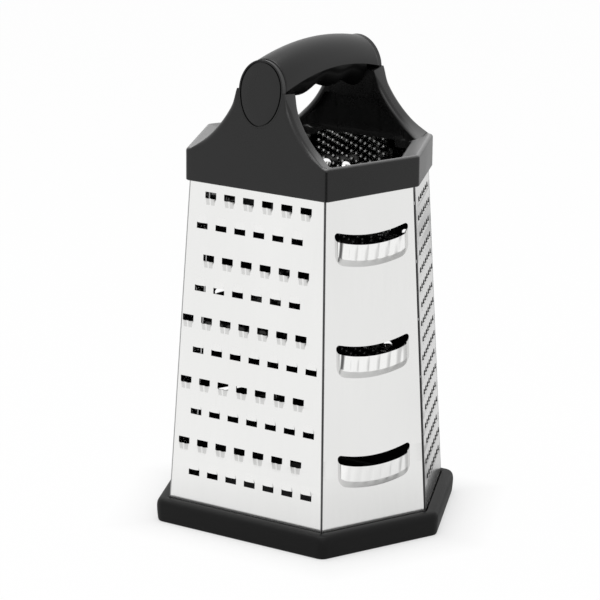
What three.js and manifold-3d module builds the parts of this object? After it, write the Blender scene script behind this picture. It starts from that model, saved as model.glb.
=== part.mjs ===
// Six-sided box grater in millimetres, +Z up, with its origin at the centre of the foot.
// Six stamped steel panels form a tapered body. A moulded collar with two uprights closes its top,
// an arched two-piece handle runs along X between the uprights, and a soft ring takes the foot.
import * as THREE from 'three';
import { mergeVertices } from 'three/addons/utils/BufferGeometryUtils.js';
import Module from 'manifold-3d';

const wasm = await Module();
wasm.setup();

// Clearance between pieces that seat on each other, and the steel sheet
const FIT_GAP = 0.3;
const SHEET = 0.6;

// Steel body: outer faces at the foot plane and at the sheets' top edge
const BODY_FOOT_Z = 3.3;
const BODY_TOP_Z = 184;
const WIDE_FACE_X_FOOT = 56.7;
const WIDE_FACE_X_TOP = 46.35;
const WIDE_HALF_WIDTH_FOOT = 45.7;
const WIDE_HALF_WIDTH_TOP = 38.9;
const GABLE_SLOPE = 0.44;
const SEAM_FLANGE = 1.4;

// Base ring: reach outside the steel, walls of its groove, heights
const RING_REACH = 6.1;
const RING_FOOT_REACH = 5.2;
const RING_FOOT_EDGE = 1;
const RING_HEIGHT = 11.8;
const RING_BELLY_Z = 8.2;
const RING_LIP = 1.3;
const RING_INNER_WALL = 2.6;
const RING_INNER_HEIGHT = 8.5;

// Collar: skirt over the steel, rim round the mouth, inner lip
const COLLAR_OVERLAP = 11;
const COLLAR_STANDOFF = 1.8;
const COLLAR_EDGE = 0.8;
const COLLAR_CORNER = 2.2;
const RIM_THICKNESS = 3.3;
const RIM_WIDTH = 9.3;
const RIM_BEAD = 1.2;
const MOUTH_LIP = 1.7;
const MOUTH_LIP_DROP = 0.8;

// Uprights: thickness, inward lean, flared flanks and the hollow on the hand side
const UPRIGHT_DEPTH = 9.3;
const UPRIGHT_LEAN = 7.5;
const UPRIGHT_FLARE = 55;
const UPRIGHT_FOOT_INSET = 1.2;
const UPRIGHT_ROOT = 2;
const NECK_MARGIN = 1.2;
const UPRIGHT_WALL = 2.2;
const HOLLOW_FOOT = 3;

// Handle: parting line, shell section, finger waves
const HANDLE_RISE = 33.6;
const HANDLE_ARCH = 5.7;
const HANDLE_HALF_WIDTH = 12.5;
const SHELL_END_HEIGHT = 14.5;
const SHELL_MID_HEIGHT = 13.1;
const SHELL_WALL = 2.2;
const GRIP_DROP = 11;
const FINGER_PITCH = 25;
const FINGER_WAVE = 1.3;

// End caps and the screws behind them
const CAP_THICKNESS = 2.6;
const CAP_DROP = 18;
const SCREW_HEAD_RADIUS = 3.4;
const SCREW_HEAD_HEIGHT = 1.9;
const SCREW_SHANK_RADIUS = 1.7;
const SCREW_LENGTH = 13;
const SCREW_TIP = 2.5;

// Coarse panel: oblong holes with fluted teeth that point down and up in turn
const COARSE_TOOTH = { width: 6.4, root: 5, reach: 4.6, opening: 3, rise: 1.3, valley: 0.9, flutes: 2 };
const COARSE_PITCH = 11;
const COARSE_ROW_PITCH = 15.55;
const COARSE_EDGE = 5.1;
const COARSE_TOP = 6;
const COARSE_BOTTOM = 12;
const COARSE_STAGGER = 2.2;
const COARSE_SHIFT = -0.8;

// Medium panel: small half-moon teeth in level rows
const MEDIUM_TOOTH = { width: 3.4, root: 0, reach: 2.6, opening: 1.9, rise: 0.8, flutes: 1 };
const MEDIUM_PATTERN = { pitch: 6.25, rowPitch: 8.7, edge: 4.5, margin: 10.8, shift: 0.8 };

// Shredder panel: larger single teeth
const SHREDDER_TOOTH = { width: 5.2, root: 0, reach: 4, opening: 2.8, rise: 1.8, flutes: 1, squareTop: true };
const SHREDDER_PATTERN = { pitch: 11.7, rowPitch: 15.3, edge: 9.5, margin: 10.8, shift: -2.2 };

// Rasp panel: three-cornered punched points
const RASP_POINT = { radius: 1.9, hole: 0.9, rise: 1 };
const RASP_PATTERN = { pitch: 9, rowPitch: 9.4, edge: 5, margin: 6, shift: 0 };

// Slicing panels: curved slots, each over a raised hood
const SLICER_EDGE = 5.3;
const SLICER_TOP = 18;
const SLICER_PITCH = 54.6;
const SLICER_BOTTOM = 30;
const RIPPLE_SLOT = { opening: 4.4, sag: 3.3, drop: 10.6, rise: 3, belly: 2.2, ripple: 0.5 };
const RIPPLE_RIBS = 7;
const PLAIN_SLOT = { opening: 3.2, sag: 0, drop: 9, rise: 3, belly: 2.2, ripple: 0 };
const PLAIN_FACETS = 4;

// Facets of round stretches, stations along the handle, and how near two points count as one
const ARC_STEPS = 8;
const CAP_STEPS = 12;
const ROUND_STEPS = 14;
const SHELL_STATIONS = 9;
const GRIP_STATIONS = 19;
const WELD = 1e-4;

// Heights and widths that follow from the driving sizes
const SIDES = 6;
const COLLAR_FOOT_Z = BODY_TOP_Z - COLLAR_OVERLAP;
const RIM_UNDER_Z = BODY_TOP_Z + FIT_GAP;
const COLLAR_TOP_Z = RIM_UNDER_Z + RIM_THICKNESS;
const COLLAR_FACE_X = bodyOutline(COLLAR_FOOT_Z, COLLAR_STANDOFF)[2].x;
const LEAN = THREE.MathUtils.degToRad(UPRIGHT_LEAN);
const PARTING_Z = COLLAR_TOP_Z + HANDLE_RISE;
const CAP_SEAT = CAP_THICKNESS + FIT_GAP;
const CORE_HALF_WIDTH = HANDLE_HALF_WIDTH - SHELL_WALL - FIT_GAP;
const HANDLE_HALF_LENGTH = leaningX(PARTING_Z, CAP_SEAT);

const steel = new THREE.MeshStandardMaterial({ color: 0xdededb, roughness: 0.25, metalness: 1 });
const screwSteel = new THREE.MeshStandardMaterial({ color: 0xb4b5b8, roughness: 0.35, metalness: 1 });
const plastic = new THREE.MeshStandardMaterial({ color: 0x2e2e2f, roughness: 0.6, metalness: 0 });
const rubber = new THREE.MeshStandardMaterial({ color: 0x252526, roughness: 0.8, metalness: 0 });

// Corners of the body's outline at a height, each side moved out by an offset.
// They run anticlockwise from above: corner 0 is at -X -Y, corner 1 is the ridge at -Y.
function bodyOutline(z, offset = 0) {
  const share = z / BODY_TOP_Z;
  const faceX = THREE.MathUtils.lerp(WIDE_FACE_X_FOOT, WIDE_FACE_X_TOP, share);
  const halfWidth = THREE.MathUtils.lerp(WIDE_HALF_WIDTH_FOOT, WIDE_HALF_WIDTH_TOP, share);
  const x = faceX + offset;
  const ridge = halfWidth + GABLE_SLOPE * faceX + offset * Math.hypot(1, GABLE_SLOPE);
  const y = ridge - GABLE_SLOPE * x;
  const corners = [[-x, -y], [0, -ridge], [x, -y], [x, y], [0, ridge], [-x, y]];
  return corners.map(([cornerX, cornerY]) => new THREE.Vector2(cornerX, cornerY));
}

// One side of the body at a height as a line: its direction, outward normal and distance from the axis.
function sideLine(z, side, offset = 0) {
  const corners = bodyOutline(z);
  const start = corners[side % SIDES];
  const along = corners[(side + 1) % SIDES].clone().sub(start).normalize();
  const normal = new THREE.Vector2(along.y, -along.x);
  return { along, normal, distance: normal.dot(start) + offset };
}

function meet(first, second) {
  const cross = first.normal.cross(second.normal);
  const x = (first.distance * second.normal.y - second.distance * first.normal.y) / cross;
  const y = (second.distance * first.normal.x - first.distance * second.normal.x) / cross;
  return new THREE.Vector2(x, y);
}

// Outline of the body with each corner rounded by an arc of three points.
function roundedOutline(z, offset, radius) {
  const corners = bodyOutline(z, offset);
  return corners.flatMap((corner, index) => {
    const before = sideLine(z, index + SIDES - 1).normal;
    const after = sideLine(z, index).normal;
    const middle = before.clone().add(after).normalize();
    const centre = corner.clone().addScaledVector(middle, -radius / middle.dot(after));
    return [before, middle, after].map((normal) => centre.clone().addScaledVector(normal, radius));
  });
}

// A geometry from points and triangles, turned inside out if its volume came out negative.
function closedGeometry(points, triangles) {
  const volume = triangles.reduce((sum, [a, b, c]) => {
    return sum + points[a].dot(points[b].clone().cross(points[c]));
  }, 0);
  const outward = volume < 0 ? triangles.map(([a, b, c]) => [a, c, b]) : triangles;
  const geometry = new THREE.BufferGeometry();
  geometry.setFromPoints(points);
  geometry.setIndex(outward.flat());
  geometry.computeVertexNormals();
  return geometry;
}

// Joins rings of equal length one after another; the last ring meets the first where it is a loop.
function bridgeRings(rings, loop) {
  const count = rings[0].length;
  const triangles = [];
  const spans = loop ? rings.length : rings.length - 1;
  for (let ring = 0; ring < spans; ring += 1) {
    const here = ring * count;
    const next = ((ring + 1) % rings.length) * count;
    for (let step = 0; step < count; step += 1) {
      const after = (step + 1) % count;
      triangles.push([here + step, next + step, next + after], [here + step, next + after, here + after]);
    }
  }
  return triangles;
}

// A closed profile carried round the body: each profile point is one rounded outline.
function sweptRing(profile) {
  const rings = profile.map(({ z, offset, radius, outlineZ = z }) => {
    return roundedOutline(outlineZ, offset, radius).map(({ x, y }) => new THREE.Vector3(x, y, z));
  });
  return closedGeometry(rings.flat(), bridgeRings(rings, true));
}

// A solid through equal sections along the handle, with both end sections filled.
function loftedBar(sections) {
  const count = sections[0].length;
  const triangles = bridgeRings(sections, false);
  const flat = sections[0].map(({ y, z }) => new THREE.Vector2(y, z));
  const last = (sections.length - 1) * count;
  THREE.ShapeUtils.triangulateShape(flat, []).forEach(([a, b, c]) => {
    const turned = flat[b].clone().sub(flat[a]).cross(flat[c].clone().sub(flat[a])) > 0;
    const [first, second, third] = turned === THREE.ShapeUtils.area(flat) > 0 ? [a, b, c] : [a, c, b];
    triangles.push([first, second, third], [last + first, last + third, last + second]);
  });
  return closedGeometry(sections.flat(), triangles);
}

function manifoldOf(geometry) {
  const bare = geometry.clone();
  bare.deleteAttribute('normal');
  bare.deleteAttribute('uv');
  const merged = mergeVertices(bare, WELD);
  const vertProperties = new Float32Array(merged.attributes.position.array);
  const triVerts = new Uint32Array(merged.index.array);
  return new wasm.Manifold(new wasm.Mesh({ numProp: 3, vertProperties, triVerts }));
}

function geometryOf(manifold) {
  const mesh = manifold.getMesh();
  const geometry = new THREE.BufferGeometry();
  geometry.setAttribute('position', new THREE.BufferAttribute(mesh.vertProperties, 3));
  geometry.setIndex(new THREE.BufferAttribute(mesh.triVerts, 1));
  geometry.computeVertexNormals();
  return geometry;
}

// Where a panel's edges lie at a height. Its left edge ends at the corner, and its right edge
// is bent round the corner as a flange that lies just behind the next panel.
function panelEdges(side, z) {
  const tuck = SHEET + FIT_GAP;
  const next = sideLine(z, side + 1);
  const before = sideLine(z, side + SIDES - 1);
  const bendFront = meet(sideLine(z, side), sideLine(z, side + 1, -tuck));
  const flangeFront = bendFront.clone().addScaledVector(next.along, SEAM_FLANGE);
  return {
    leftFront: meet(sideLine(z, side), before),
    leftBack: meet(sideLine(z, side, -SHEET), before),
    bendFront,
    bendBack: meet(sideLine(z, side, -SHEET), sideLine(z, side + 1, -tuck - SHEET)),
    flangeFront,
    flangeBack: flangeFront.clone().addScaledVector(next.normal, -SHEET),
  };
}

// A panel's own frame: u to the right seen from outside, v up the slope, n outward.
function panelFrame(side) {
  const lift = (point, z) => new THREE.Vector3(point.x, point.y, z);
  const foot = panelEdges(side, BODY_FOOT_Z);
  const top = panelEdges(side, BODY_TOP_Z);
  const corner = lift(foot.leftFront, BODY_FOOT_Z);
  const across = lift(foot.bendFront, BODY_FOOT_Z).sub(corner).normalize();
  const outward = across.clone().cross(lift(top.leftFront, BODY_TOP_Z).sub(corner)).normalize();
  const matrix = new THREE.Matrix4().makeBasis(across, outward.clone().cross(across), outward);
  matrix.setPosition(corner);
  const inverse = matrix.clone().invert();
  const local = (edges, z) => Object.fromEntries(
    Object.entries(edges).map(([name, point]) => [name, lift(point, z).applyMatrix4(inverse)]),
  );
  const footLocal = local(foot, BODY_FOOT_Z);
  const topLocal = local(top, BODY_TOP_Z);
  const height = topLocal.leftFront.y;
  const edgePoint = (name, v) => footLocal[name].clone().lerp(topLocal[name], v / height);
  return {
    matrix,
    height,
    edgePoint,
    thickness: -footLocal.leftBack.z,
    vAt: (z) => ((z - BODY_FOOT_Z) / (BODY_TOP_Z - BODY_FOOT_Z)) * height,
    middleAt: (v) => (edgePoint('leftFront', v).x + edgePoint('bendFront', v).x) / 2,
    widthAt: (v) => edgePoint('bendFront', v).x - edgePoint('leftFront', v).x,
  };
}

// A stamped panel. Rows of cells part the flat sheet into strips: each strip is filled between the lower
// side of one row and the upper side of the next, each cell adds its raised faces, and the whole surface
// with its flange is then given the sheet's thickness.
function stampedPanel(frame, rows) {
  const front = [];
  const back = [];
  const faces = [];
  const addPoint = (frontPoint, backPoint) => {
    back.push(backPoint);
    return front.push(frontPoint) - 1;
  };
  const addEdge = (name, v) => {
    return addPoint(frame.edgePoint(`${name}Front`, v), frame.edgePoint(`${name}Back`, v));
  };
  const addLevel = (v) => ({ left: addEdge('left', v), bend: addEdge('bend', v) });
  const addRaised = (u, v, n) => {
    return addPoint(new THREE.Vector3(u, v, n), new THREE.Vector3(u, v, n - frame.thickness));
  };
  const addCell = ({ loop, raised, inner, upper, lower }, { u, v, turn }) => {
    const ids = loop.map(([p, q]) => addRaised(u + turn * p, v + turn * q, 0));
    ids.push(...raised.map(([p, q, n]) => addRaised(u + turn * p, v + turn * q, n)));
    inner.forEach((face) => faces.push(face.map((id) => ids[id])));
    const chains = [upper, lower].map((chain) => chain.map((id) => ids[id]));
    return turn > 0 ? chains : [chains[1].reverse(), chains[0].reverse()];
  };
  const fillStrip = (lowerChain, upperChain) => {
    const ring = lowerChain.concat(upperChain.toReversed());
    const flat = ring.map((id) => new THREE.Vector2(front[id].x, front[id].y));
    THREE.ShapeUtils.triangulateShape(flat, []).forEach(([a, b, c]) => {
      const turnsLeft = flat[b].clone().sub(flat[a]).cross(flat[c].clone().sub(flat[a])) > 0;
      faces.push(turnsLeft ? [ring[a], ring[b], ring[c]] : [ring[a], ring[c], ring[b]]);
    });
  };

  const topLevel = addLevel(frame.height);
  const levels = [topLevel];
  let above = [topLevel.left, topLevel.bend];
  rows.forEach(({ v, cell, places }) => {
    const level = addLevel(v);
    const chains = places.map((place) => addCell(cell, place));
    const upper = chains.flatMap(([chain]) => chain);
    const lower = chains.flatMap(([, chain]) => chain);
    fillStrip([level.left, ...upper, level.bend], above);
    above = [level.left, ...lower, level.bend];
    levels.push(level);
  });
  const footLevel = addLevel(0);
  fillStrip([footLevel.left, footLevel.bend], above);
  levels.push(footLevel);

  const flangeTop = addEdge('flange', frame.height);
  const flangeFoot = addEdge('flange', 0);
  const half = Math.floor(levels.length / 2);
  levels.slice(1).forEach((level, index) => {
    faces.push([level.bend, index < half ? flangeTop : flangeFoot, levels[index].bend]);
  });
  faces.push([levels[half].bend, flangeFoot, flangeTop]);
  return thickened(front, back, faces);
}

// A closed body between a front surface and its back: the back is turned round, and every edge that only
// one face uses gets a wall.
function thickened(front, back, faces) {
  const shift = front.length;
  const edges = new Map();
  const triangles = [];
  faces.forEach(([a, b, c]) => {
    triangles.push([a, b, c], [c + shift, b + shift, a + shift]);
    [[a, b], [b, c], [c, a]].forEach(([start, end]) => edges.set(`${start} ${end}`, [start, end]));
  });
  edges.forEach(([start, end]) => {
    if (edges.has(`${end} ${start}`)) return;
    triangles.push([end, start, start + shift], [end, start + shift, end + shift]);
  });
  return closedGeometry(front.concat(back), triangles);
}

// A scooped tooth: the sheet rises from its root to a lip, and the hole lies beyond the lip.
function toothCell({ width, root, reach, opening, rise, valley, flutes, squareTop }) {
  const half = width / 2;
  const roots = root > 0 ? [[-root / 2, 0], [root / 2, 0]] : [[0, 0]];
  const far = reach + opening;
  const square = squareTop || root > 0;
  const holeTop = square ? [[half, far], [-half, far]] : [[0, far]];
  const loop = [...roots, [half, reach], ...holeTop, [-half, reach]];
  const lipCount = 2 * flutes - 1;
  const raised = Array.from({ length: lipCount }, (_, index) => {
    const height = index % 2 === 0 ? rise : valley;
    return [-half + (width * (index + 1)) / (lipCount + 1), reach, height];
  });
  const lip = [loop.length - 1, ...raised.map((_, index) => loop.length + index), roots.length];
  const middle = Math.floor(lip.length / 2);
  const lastRoot = roots.length - 1;
  const inner = lip.slice(1).map((id, index) => [index < middle ? 0 : lastRoot, id, lip[index]]);
  if (lastRoot > 0) inner.push([0, lastRoot, lip[middle]]);
  const left = loop.length - 1;
  const right = roots.length;
  const lower = [left, ...roots.keys(), right];
  const upper = [left, ...[...holeTop.keys()].map((id) => left - 1 - id), right];
  return { loop, raised, inner, upper, lower };
}

// A rasp point: a three-cornered crater whose torn rim stands above the sheet.
function raspCell({ radius, hole, rise }) {
  const corner = (size, index) => {
    const angle = Math.PI / 2 + (index * 2 * Math.PI) / 3;
    return [size * Math.cos(angle), size * Math.sin(angle)];
  };
  const corners = [0, 1, 2];
  const loop = corners.map((index) => corner(radius, index));
  const raised = corners.map((index) => [...corner(hole, index), rise]);
  const inner = corners.flatMap((index) => {
    const next = (index + 1) % 3;
    return [[index, next, 3 + next], [index, 3 + next, 3 + index]];
  });
  return { loop, raised, inner, upper: [1, 0, 2], lower: [1, 2] };
}

// A slicing slot: a hood rises from a rounded foot to a curved blade lip, with the slot above the lip.
function slicerCell(width, { opening, sag, drop, rise, belly, ripple }, ribs) {
  const half = width / 2;
  const steps = 2 * ribs;
  const across = Array.from({ length: steps + 1 }, (_, index) => -half + (width * index) / steps);
  const swell = (p) => 1 - (p / half) ** 2;
  const lipAt = (p) => -opening / 2 - sag * swell(p);
  const footAt = (p) => lipAt(p) - drop * Math.sqrt(Math.sqrt(swell(p)));
  const bottom = across.map((p) => [p, footAt(p)]);
  const top = across.map((p) => [p, lipAt(p) + opening]).reverse();
  const loop = [...bottom, ...top];
  const inside = across.slice(1, -1);
  const rippleAt = (index) => (index % 2 === 0 ? ripple : -ripple);
  const heightAt = (p, index, height) => height * Math.sqrt(swell(p)) + rippleAt(index);
  const hood = inside.map((p, index) => [p, (lipAt(p) + footAt(p)) / 2, heightAt(p, index, belly)]);
  const lip = inside.map((p, index) => [p, lipAt(p), heightAt(p, index, rise)]);
  const hoodId = (index) => loop.length + index - 1;
  const lipId = (index) => loop.length + inside.length + index - 1;
  const inner = [[0, 1, hoodId(1)], [0, hoodId(1), lipId(1)]];
  for (let index = 1; index < steps - 1; index += 1) {
    const next = index + 1;
    inner.push([index, next, hoodId(next)], [index, hoodId(next), hoodId(index)]);
    inner.push([hoodId(index), hoodId(next), lipId(next)], [hoodId(index), lipId(next), lipId(index)]);
  }
  const last = steps - 1;
  inner.push([last, steps, hoodId(last)], [hoodId(last), steps, lipId(last)]);
  const lower = [...bottom.keys()];
  const upper = [0, ...top.map((_, index) => loop.length - 1 - index), steps];
  return { loop, raised: [...hood, ...lip], inner, upper, lower };
}

// Heights of a pattern's rows, from the collar down to the base ring.
function rowHeights(frame, top, bottom, pitch) {
  const first = frame.vAt(COLLAR_FOOT_Z) - top;
  const last = frame.vAt(RING_HEIGHT) + bottom;
  const count = Math.floor((first - last) / pitch) + 1;
  return Array.from({ length: Math.max(count, 1) }, (_, row) => first - row * pitch);
}

function coarseRows(frame) {
  const cell = toothCell(COARSE_TOOTH);
  const holeMiddle = COARSE_TOOTH.reach + COARSE_TOOTH.opening / 2;
  return rowHeights(frame, COARSE_TOP, COARSE_BOTTOM, COARSE_ROW_PITCH).map((holeV, row) => {
    const turn = row % 2 === 0 ? 1 : -1;
    const room = frame.widthAt(holeV) - 2 * COARSE_EDGE - COARSE_TOOTH.width;
    const count = Math.floor(room / COARSE_PITCH) + 1;
    const oddShift = (count % 2) * turn * (COARSE_PITCH / 2);
    const middle = frame.middleAt(holeV) + COARSE_SHIFT + turn * COARSE_STAGGER - oddShift;
    const rootV = holeV - turn * holeMiddle;
    const places = spread(count, COARSE_PITCH).map((step) => ({ u: middle + step, v: rootV, turn }));
    return { v: rootV + turn * COARSE_TOOTH.reach, cell, places };
  });
}

// Places for a number of cells at a pitch, about their middle.
function spread(count, pitch) {
  return Array.from({ length: count }, (_, index) => (index - (count - 1) / 2) * pitch);
}

// Rows of single cells, with every second row, from the first on, one cell short and so moved by half a pitch.
function staggeredRows(frame, cell, { pitch, rowPitch, edge, margin, shift }) {
  const [, lipV] = cell.loop[cell.lower[0]];
  return rowHeights(frame, margin, margin, rowPitch).map((v, row) => {
    const full = Math.floor((frame.widthAt(v) - 2 * edge) / pitch) + 1;
    const middle = frame.middleAt(v) + shift;
    const places = spread(full - ((row + 1) % 2), pitch).map((step) => ({ u: middle + step, v, turn: 1 }));
    return { v: v + lipV, cell, places };
  });
}

function slicerRows(frame, slot, ribs) {
  const heights = rowHeights(frame, SLICER_TOP, SLICER_BOTTOM, SLICER_PITCH);
  const cell = slicerCell(frame.widthAt(heights[0]) - 2 * SLICER_EDGE, slot, ribs);
  const [, lipV] = cell.loop[cell.lower[0]];
  return heights.map((v) => ({ v: v + lipV, cell, places: [{ u: frame.middleAt(v), v, turn: 1 }] }));
}

function panelMesh(name, side, rowsOf) {
  const frame = panelFrame(side);
  const mesh = new THREE.Mesh(stampedPanel(frame, rowsOf(frame)), steel);
  mesh.name = name;
  mesh.applyMatrix4(frame.matrix);
  return mesh;
}

function steelBody() {
  const slotted = (slot, ribs) => (frame) => slicerRows(frame, slot, ribs);
  const punched = (cell, pattern) => (frame) => staggeredRows(frame, cell, pattern);
  const body = new THREE.Group();
  body.add(
    panelMesh('ripple_slicer_panel', 0, slotted(RIPPLE_SLOT, RIPPLE_RIBS)),
    panelMesh('medium_panel', 1, punched(toothCell(MEDIUM_TOOTH), MEDIUM_PATTERN)),
    panelMesh('shredder_panel', 2, punched(toothCell(SHREDDER_TOOTH), SHREDDER_PATTERN)),
    panelMesh('plain_slicer_panel', 3, slotted(PLAIN_SLOT, PLAIN_FACETS)),
    panelMesh('rasp_panel', 4, punched(raspCell(RASP_POINT), RASP_PATTERN)),
    panelMesh('coarse_panel', 5, coarseRows),
  );
  return body;
}

// Soft ring with a groove that takes the panels' lower edges and their flanges.
function baseRing() {
  const grooveFloor = BODY_FOOT_Z - FIT_GAP;
  const grooveInner = -(2 * SHEET + 2 * FIT_GAP);
  const innerFace = grooveInner - RING_INNER_WALL;
  const point = (offset, z) => ({ offset, z, radius: Math.max(offset, FIT_GAP) });
  const profile = [
    point(innerFace, 0),
    point(RING_FOOT_REACH - RING_FOOT_EDGE, 0),
    point(RING_FOOT_REACH, RING_FOOT_EDGE),
    point(RING_REACH, RING_BELLY_Z),
    point(RING_REACH - RING_LIP, (RING_BELLY_Z + RING_HEIGHT) / 2 + RING_LIP / 2),
    point(FIT_GAP + RING_LIP, RING_HEIGHT),
    point(FIT_GAP, RING_HEIGHT - RING_LIP / 2),
    point(FIT_GAP, grooveFloor),
    point(grooveInner, grooveFloor),
    point(grooveInner, RING_INNER_HEIGHT),
    point(innerFace, RING_INNER_HEIGHT),
  ];
  const mesh = new THREE.Mesh(sweptRing(profile), rubber);
  mesh.name = 'base_ring';
  return mesh;
}

// Distance of an upright's plane from the middle, at a height and a depth behind its outer face.
function leaningX(z, depth) {
  return COLLAR_FACE_X - Math.tan(LEAN) * (z - COLLAR_TOP_Z) - depth / Math.cos(LEAN);
}

// Height up the leaning face for a height above the foot.
function slopeAt(z) {
  return (z - COLLAR_TOP_Z) / Math.cos(LEAN);
}

// Centre of an upright's flared flank: a hollow arc from the collar's corner to the neck under the handle.
function flankCentre() {
  const collarCorner = bodyOutline(COLLAR_FOOT_Z, COLLAR_STANDOFF)[3];
  const foot = new THREE.Vector2(collarCorner.y - UPRIGHT_FOOT_INSET, 0);
  const neck = new THREE.Vector2(HANDLE_HALF_WIDTH + NECK_MARGIN, slopeAt(PARTING_Z - FIT_GAP));
  const chord = neck.clone().sub(foot);
  const outward = new THREE.Vector2(chord.y, -chord.x).normalize();
  const rise = Math.sqrt(UPRIGHT_FLARE ** 2 - chord.lengthSq() / 4);
  return foot.clone().addScaledVector(chord, 1 / 2).addScaledVector(outward, rise);
}

// An upright's outline between two heights, drawn in from the flank by an inset.
function uprightShape(low, high, inset, rootDrop) {
  const centre = flankCentre();
  const radius = UPRIGHT_FLARE + inset;
  const flankX = (s) => centre.x - Math.sqrt(radius ** 2 - (s - centre.y) ** 2);
  const angleAt = (s) => Math.atan2(s - centre.y, flankX(s) - centre.x);
  const turn = 2 * Math.PI;
  const wrap = (angle) => (angle > 0 ? angle - turn : angle);
  const lowAngle = wrap(angleAt(low));
  const highAngle = wrap(angleAt(high));
  const shape = new THREE.Shape();
  shape.moveTo(-flankX(low), low - rootDrop);
  shape.lineTo(flankX(low), low - rootDrop);
  shape.absarc(centre.x, centre.y, radius, lowAngle, highAngle, true);
  shape.absarc(-centre.x, centre.y, radius, -Math.PI - highAngle, -Math.PI - lowAngle, true);
  shape.closePath();
  return shape;
}

// The handle's end outline on the leaning face: half an oval above the parting line, a longer one below.
function endOval(halfWidth, riseZ, dropZ) {
  const middle = slopeAt(PARTING_Z);
  const shape = new THREE.Shape();
  shape.absellipse(0, middle, halfWidth, riseZ / Math.cos(LEAN), 0, Math.PI, false);
  shape.absellipse(0, middle, halfWidth, dropZ / Math.cos(LEAN), Math.PI, 2 * Math.PI, false);
  return shape;
}

// A plate between two depths behind the leaning face.
function plate(shape, nearDepth, farDepth, curveSegments) {
  const geometry = new THREE.ExtrudeGeometry(shape, {
    depth: farDepth - nearDepth, bevelEnabled: false, curveSegments,
  });
  return geometry.translate(0, 0, -farDepth);
}

// Frame of the upright at -X: its face leans inward, with +Z of the frame pointing out of the face.
function uprightMatrix() {
  const up = new THREE.Vector3(Math.sin(LEAN), 0, Math.cos(LEAN));
  const outward = new THREE.Vector3(-Math.cos(LEAN), 0, Math.sin(LEAN));
  const matrix = new THREE.Matrix4().makeBasis(up.clone().cross(outward), up, outward);
  return matrix.setPosition(-COLLAR_FACE_X, 0, COLLAR_TOP_Z);
}

// A screw along the frame's -Z axis, its head's top at the origin.
function screwGeometry() {
  const crown = SCREW_HEAD_HEIGHT / 2;
  const profile = [
    [0, -SCREW_HEAD_HEIGHT - SCREW_LENGTH],
    [SCREW_SHANK_RADIUS, -SCREW_HEAD_HEIGHT - SCREW_LENGTH + SCREW_TIP],
    [SCREW_SHANK_RADIUS, -SCREW_HEAD_HEIGHT],
    [SCREW_HEAD_RADIUS, -SCREW_HEAD_HEIGHT],
    [SCREW_HEAD_RADIUS, -crown],
    [SCREW_HEAD_RADIUS - crown, 0],
    [0, 0],
  ];
  const points = profile.map(([radius, y]) => new THREE.Vector2(radius, y));
  return new THREE.LatheGeometry(points, ROUND_STEPS).rotateX(Math.PI / 2);
}

// A round hole's cutter along the frame's Z axis between two depths.
function boreCutter(radius, nearDepth, farDepth) {
  const cylinder = new THREE.CylinderGeometry(radius, radius, farDepth - nearDepth, ROUND_STEPS);
  return cylinder.rotateX(Math.PI / 2).translate(0, slopeAt(PARTING_Z), -(nearDepth + farDepth) / 2);
}

// The upright at -X with its cap seat, its tongue for the handle and the screw hole.
function uprightSolid() {
  const tongueInset = SHELL_WALL + FIT_GAP;
  const slabShape = uprightShape(0, slopeAt(PARTING_Z - FIT_GAP), 0, UPRIGHT_ROOT);
  const tongueOval = endOval(CORE_HALF_WIDTH, SHELL_END_HEIGHT - tongueInset, CAP_DROP - tongueInset);
  const capOval = endOval(HANDLE_HALF_WIDTH + FIT_GAP, SHELL_END_HEIGHT + FIT_GAP, CAP_DROP + FIT_GAP);
  const headSeat = CAP_SEAT + SCREW_HEAD_HEIGHT + FIT_GAP;
  return manifoldOf(plate(slabShape, 0, UPRIGHT_DEPTH, ARC_STEPS))
    .add(manifoldOf(plate(tongueOval, CAP_SEAT, UPRIGHT_DEPTH, ARC_STEPS)))
    .subtract(manifoldOf(plate(capOval, -CAP_SEAT, CAP_SEAT, CAP_STEPS)))
    .subtract(manifoldOf(boreCutter(SCREW_HEAD_RADIUS + FIT_GAP, 0, headSeat)))
    .subtract(manifoldOf(boreCutter(SCREW_SHANK_RADIUS + FIT_GAP, 0, 2 * UPRIGHT_DEPTH)))
    .transform(uprightMatrix().toArray());
}

// The hollow behind the upright at -X: it follows the flanks and runs down through the rim into the mouth.
function uprightHollow() {
  const high = slopeAt(PARTING_Z - GRIP_DROP - FINGER_WAVE) - UPRIGHT_WALL;
  const shape = uprightShape(HOLLOW_FOOT, high, UPRIGHT_WALL, HOLLOW_FOOT + 2 * RIM_THICKNESS);
  const block = plate(shape, CAP_SEAT + UPRIGHT_WALL, 2 * UPRIGHT_DEPTH, ARC_STEPS);
  return manifoldOf(block).transform(uprightMatrix().toArray());
}

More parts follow.
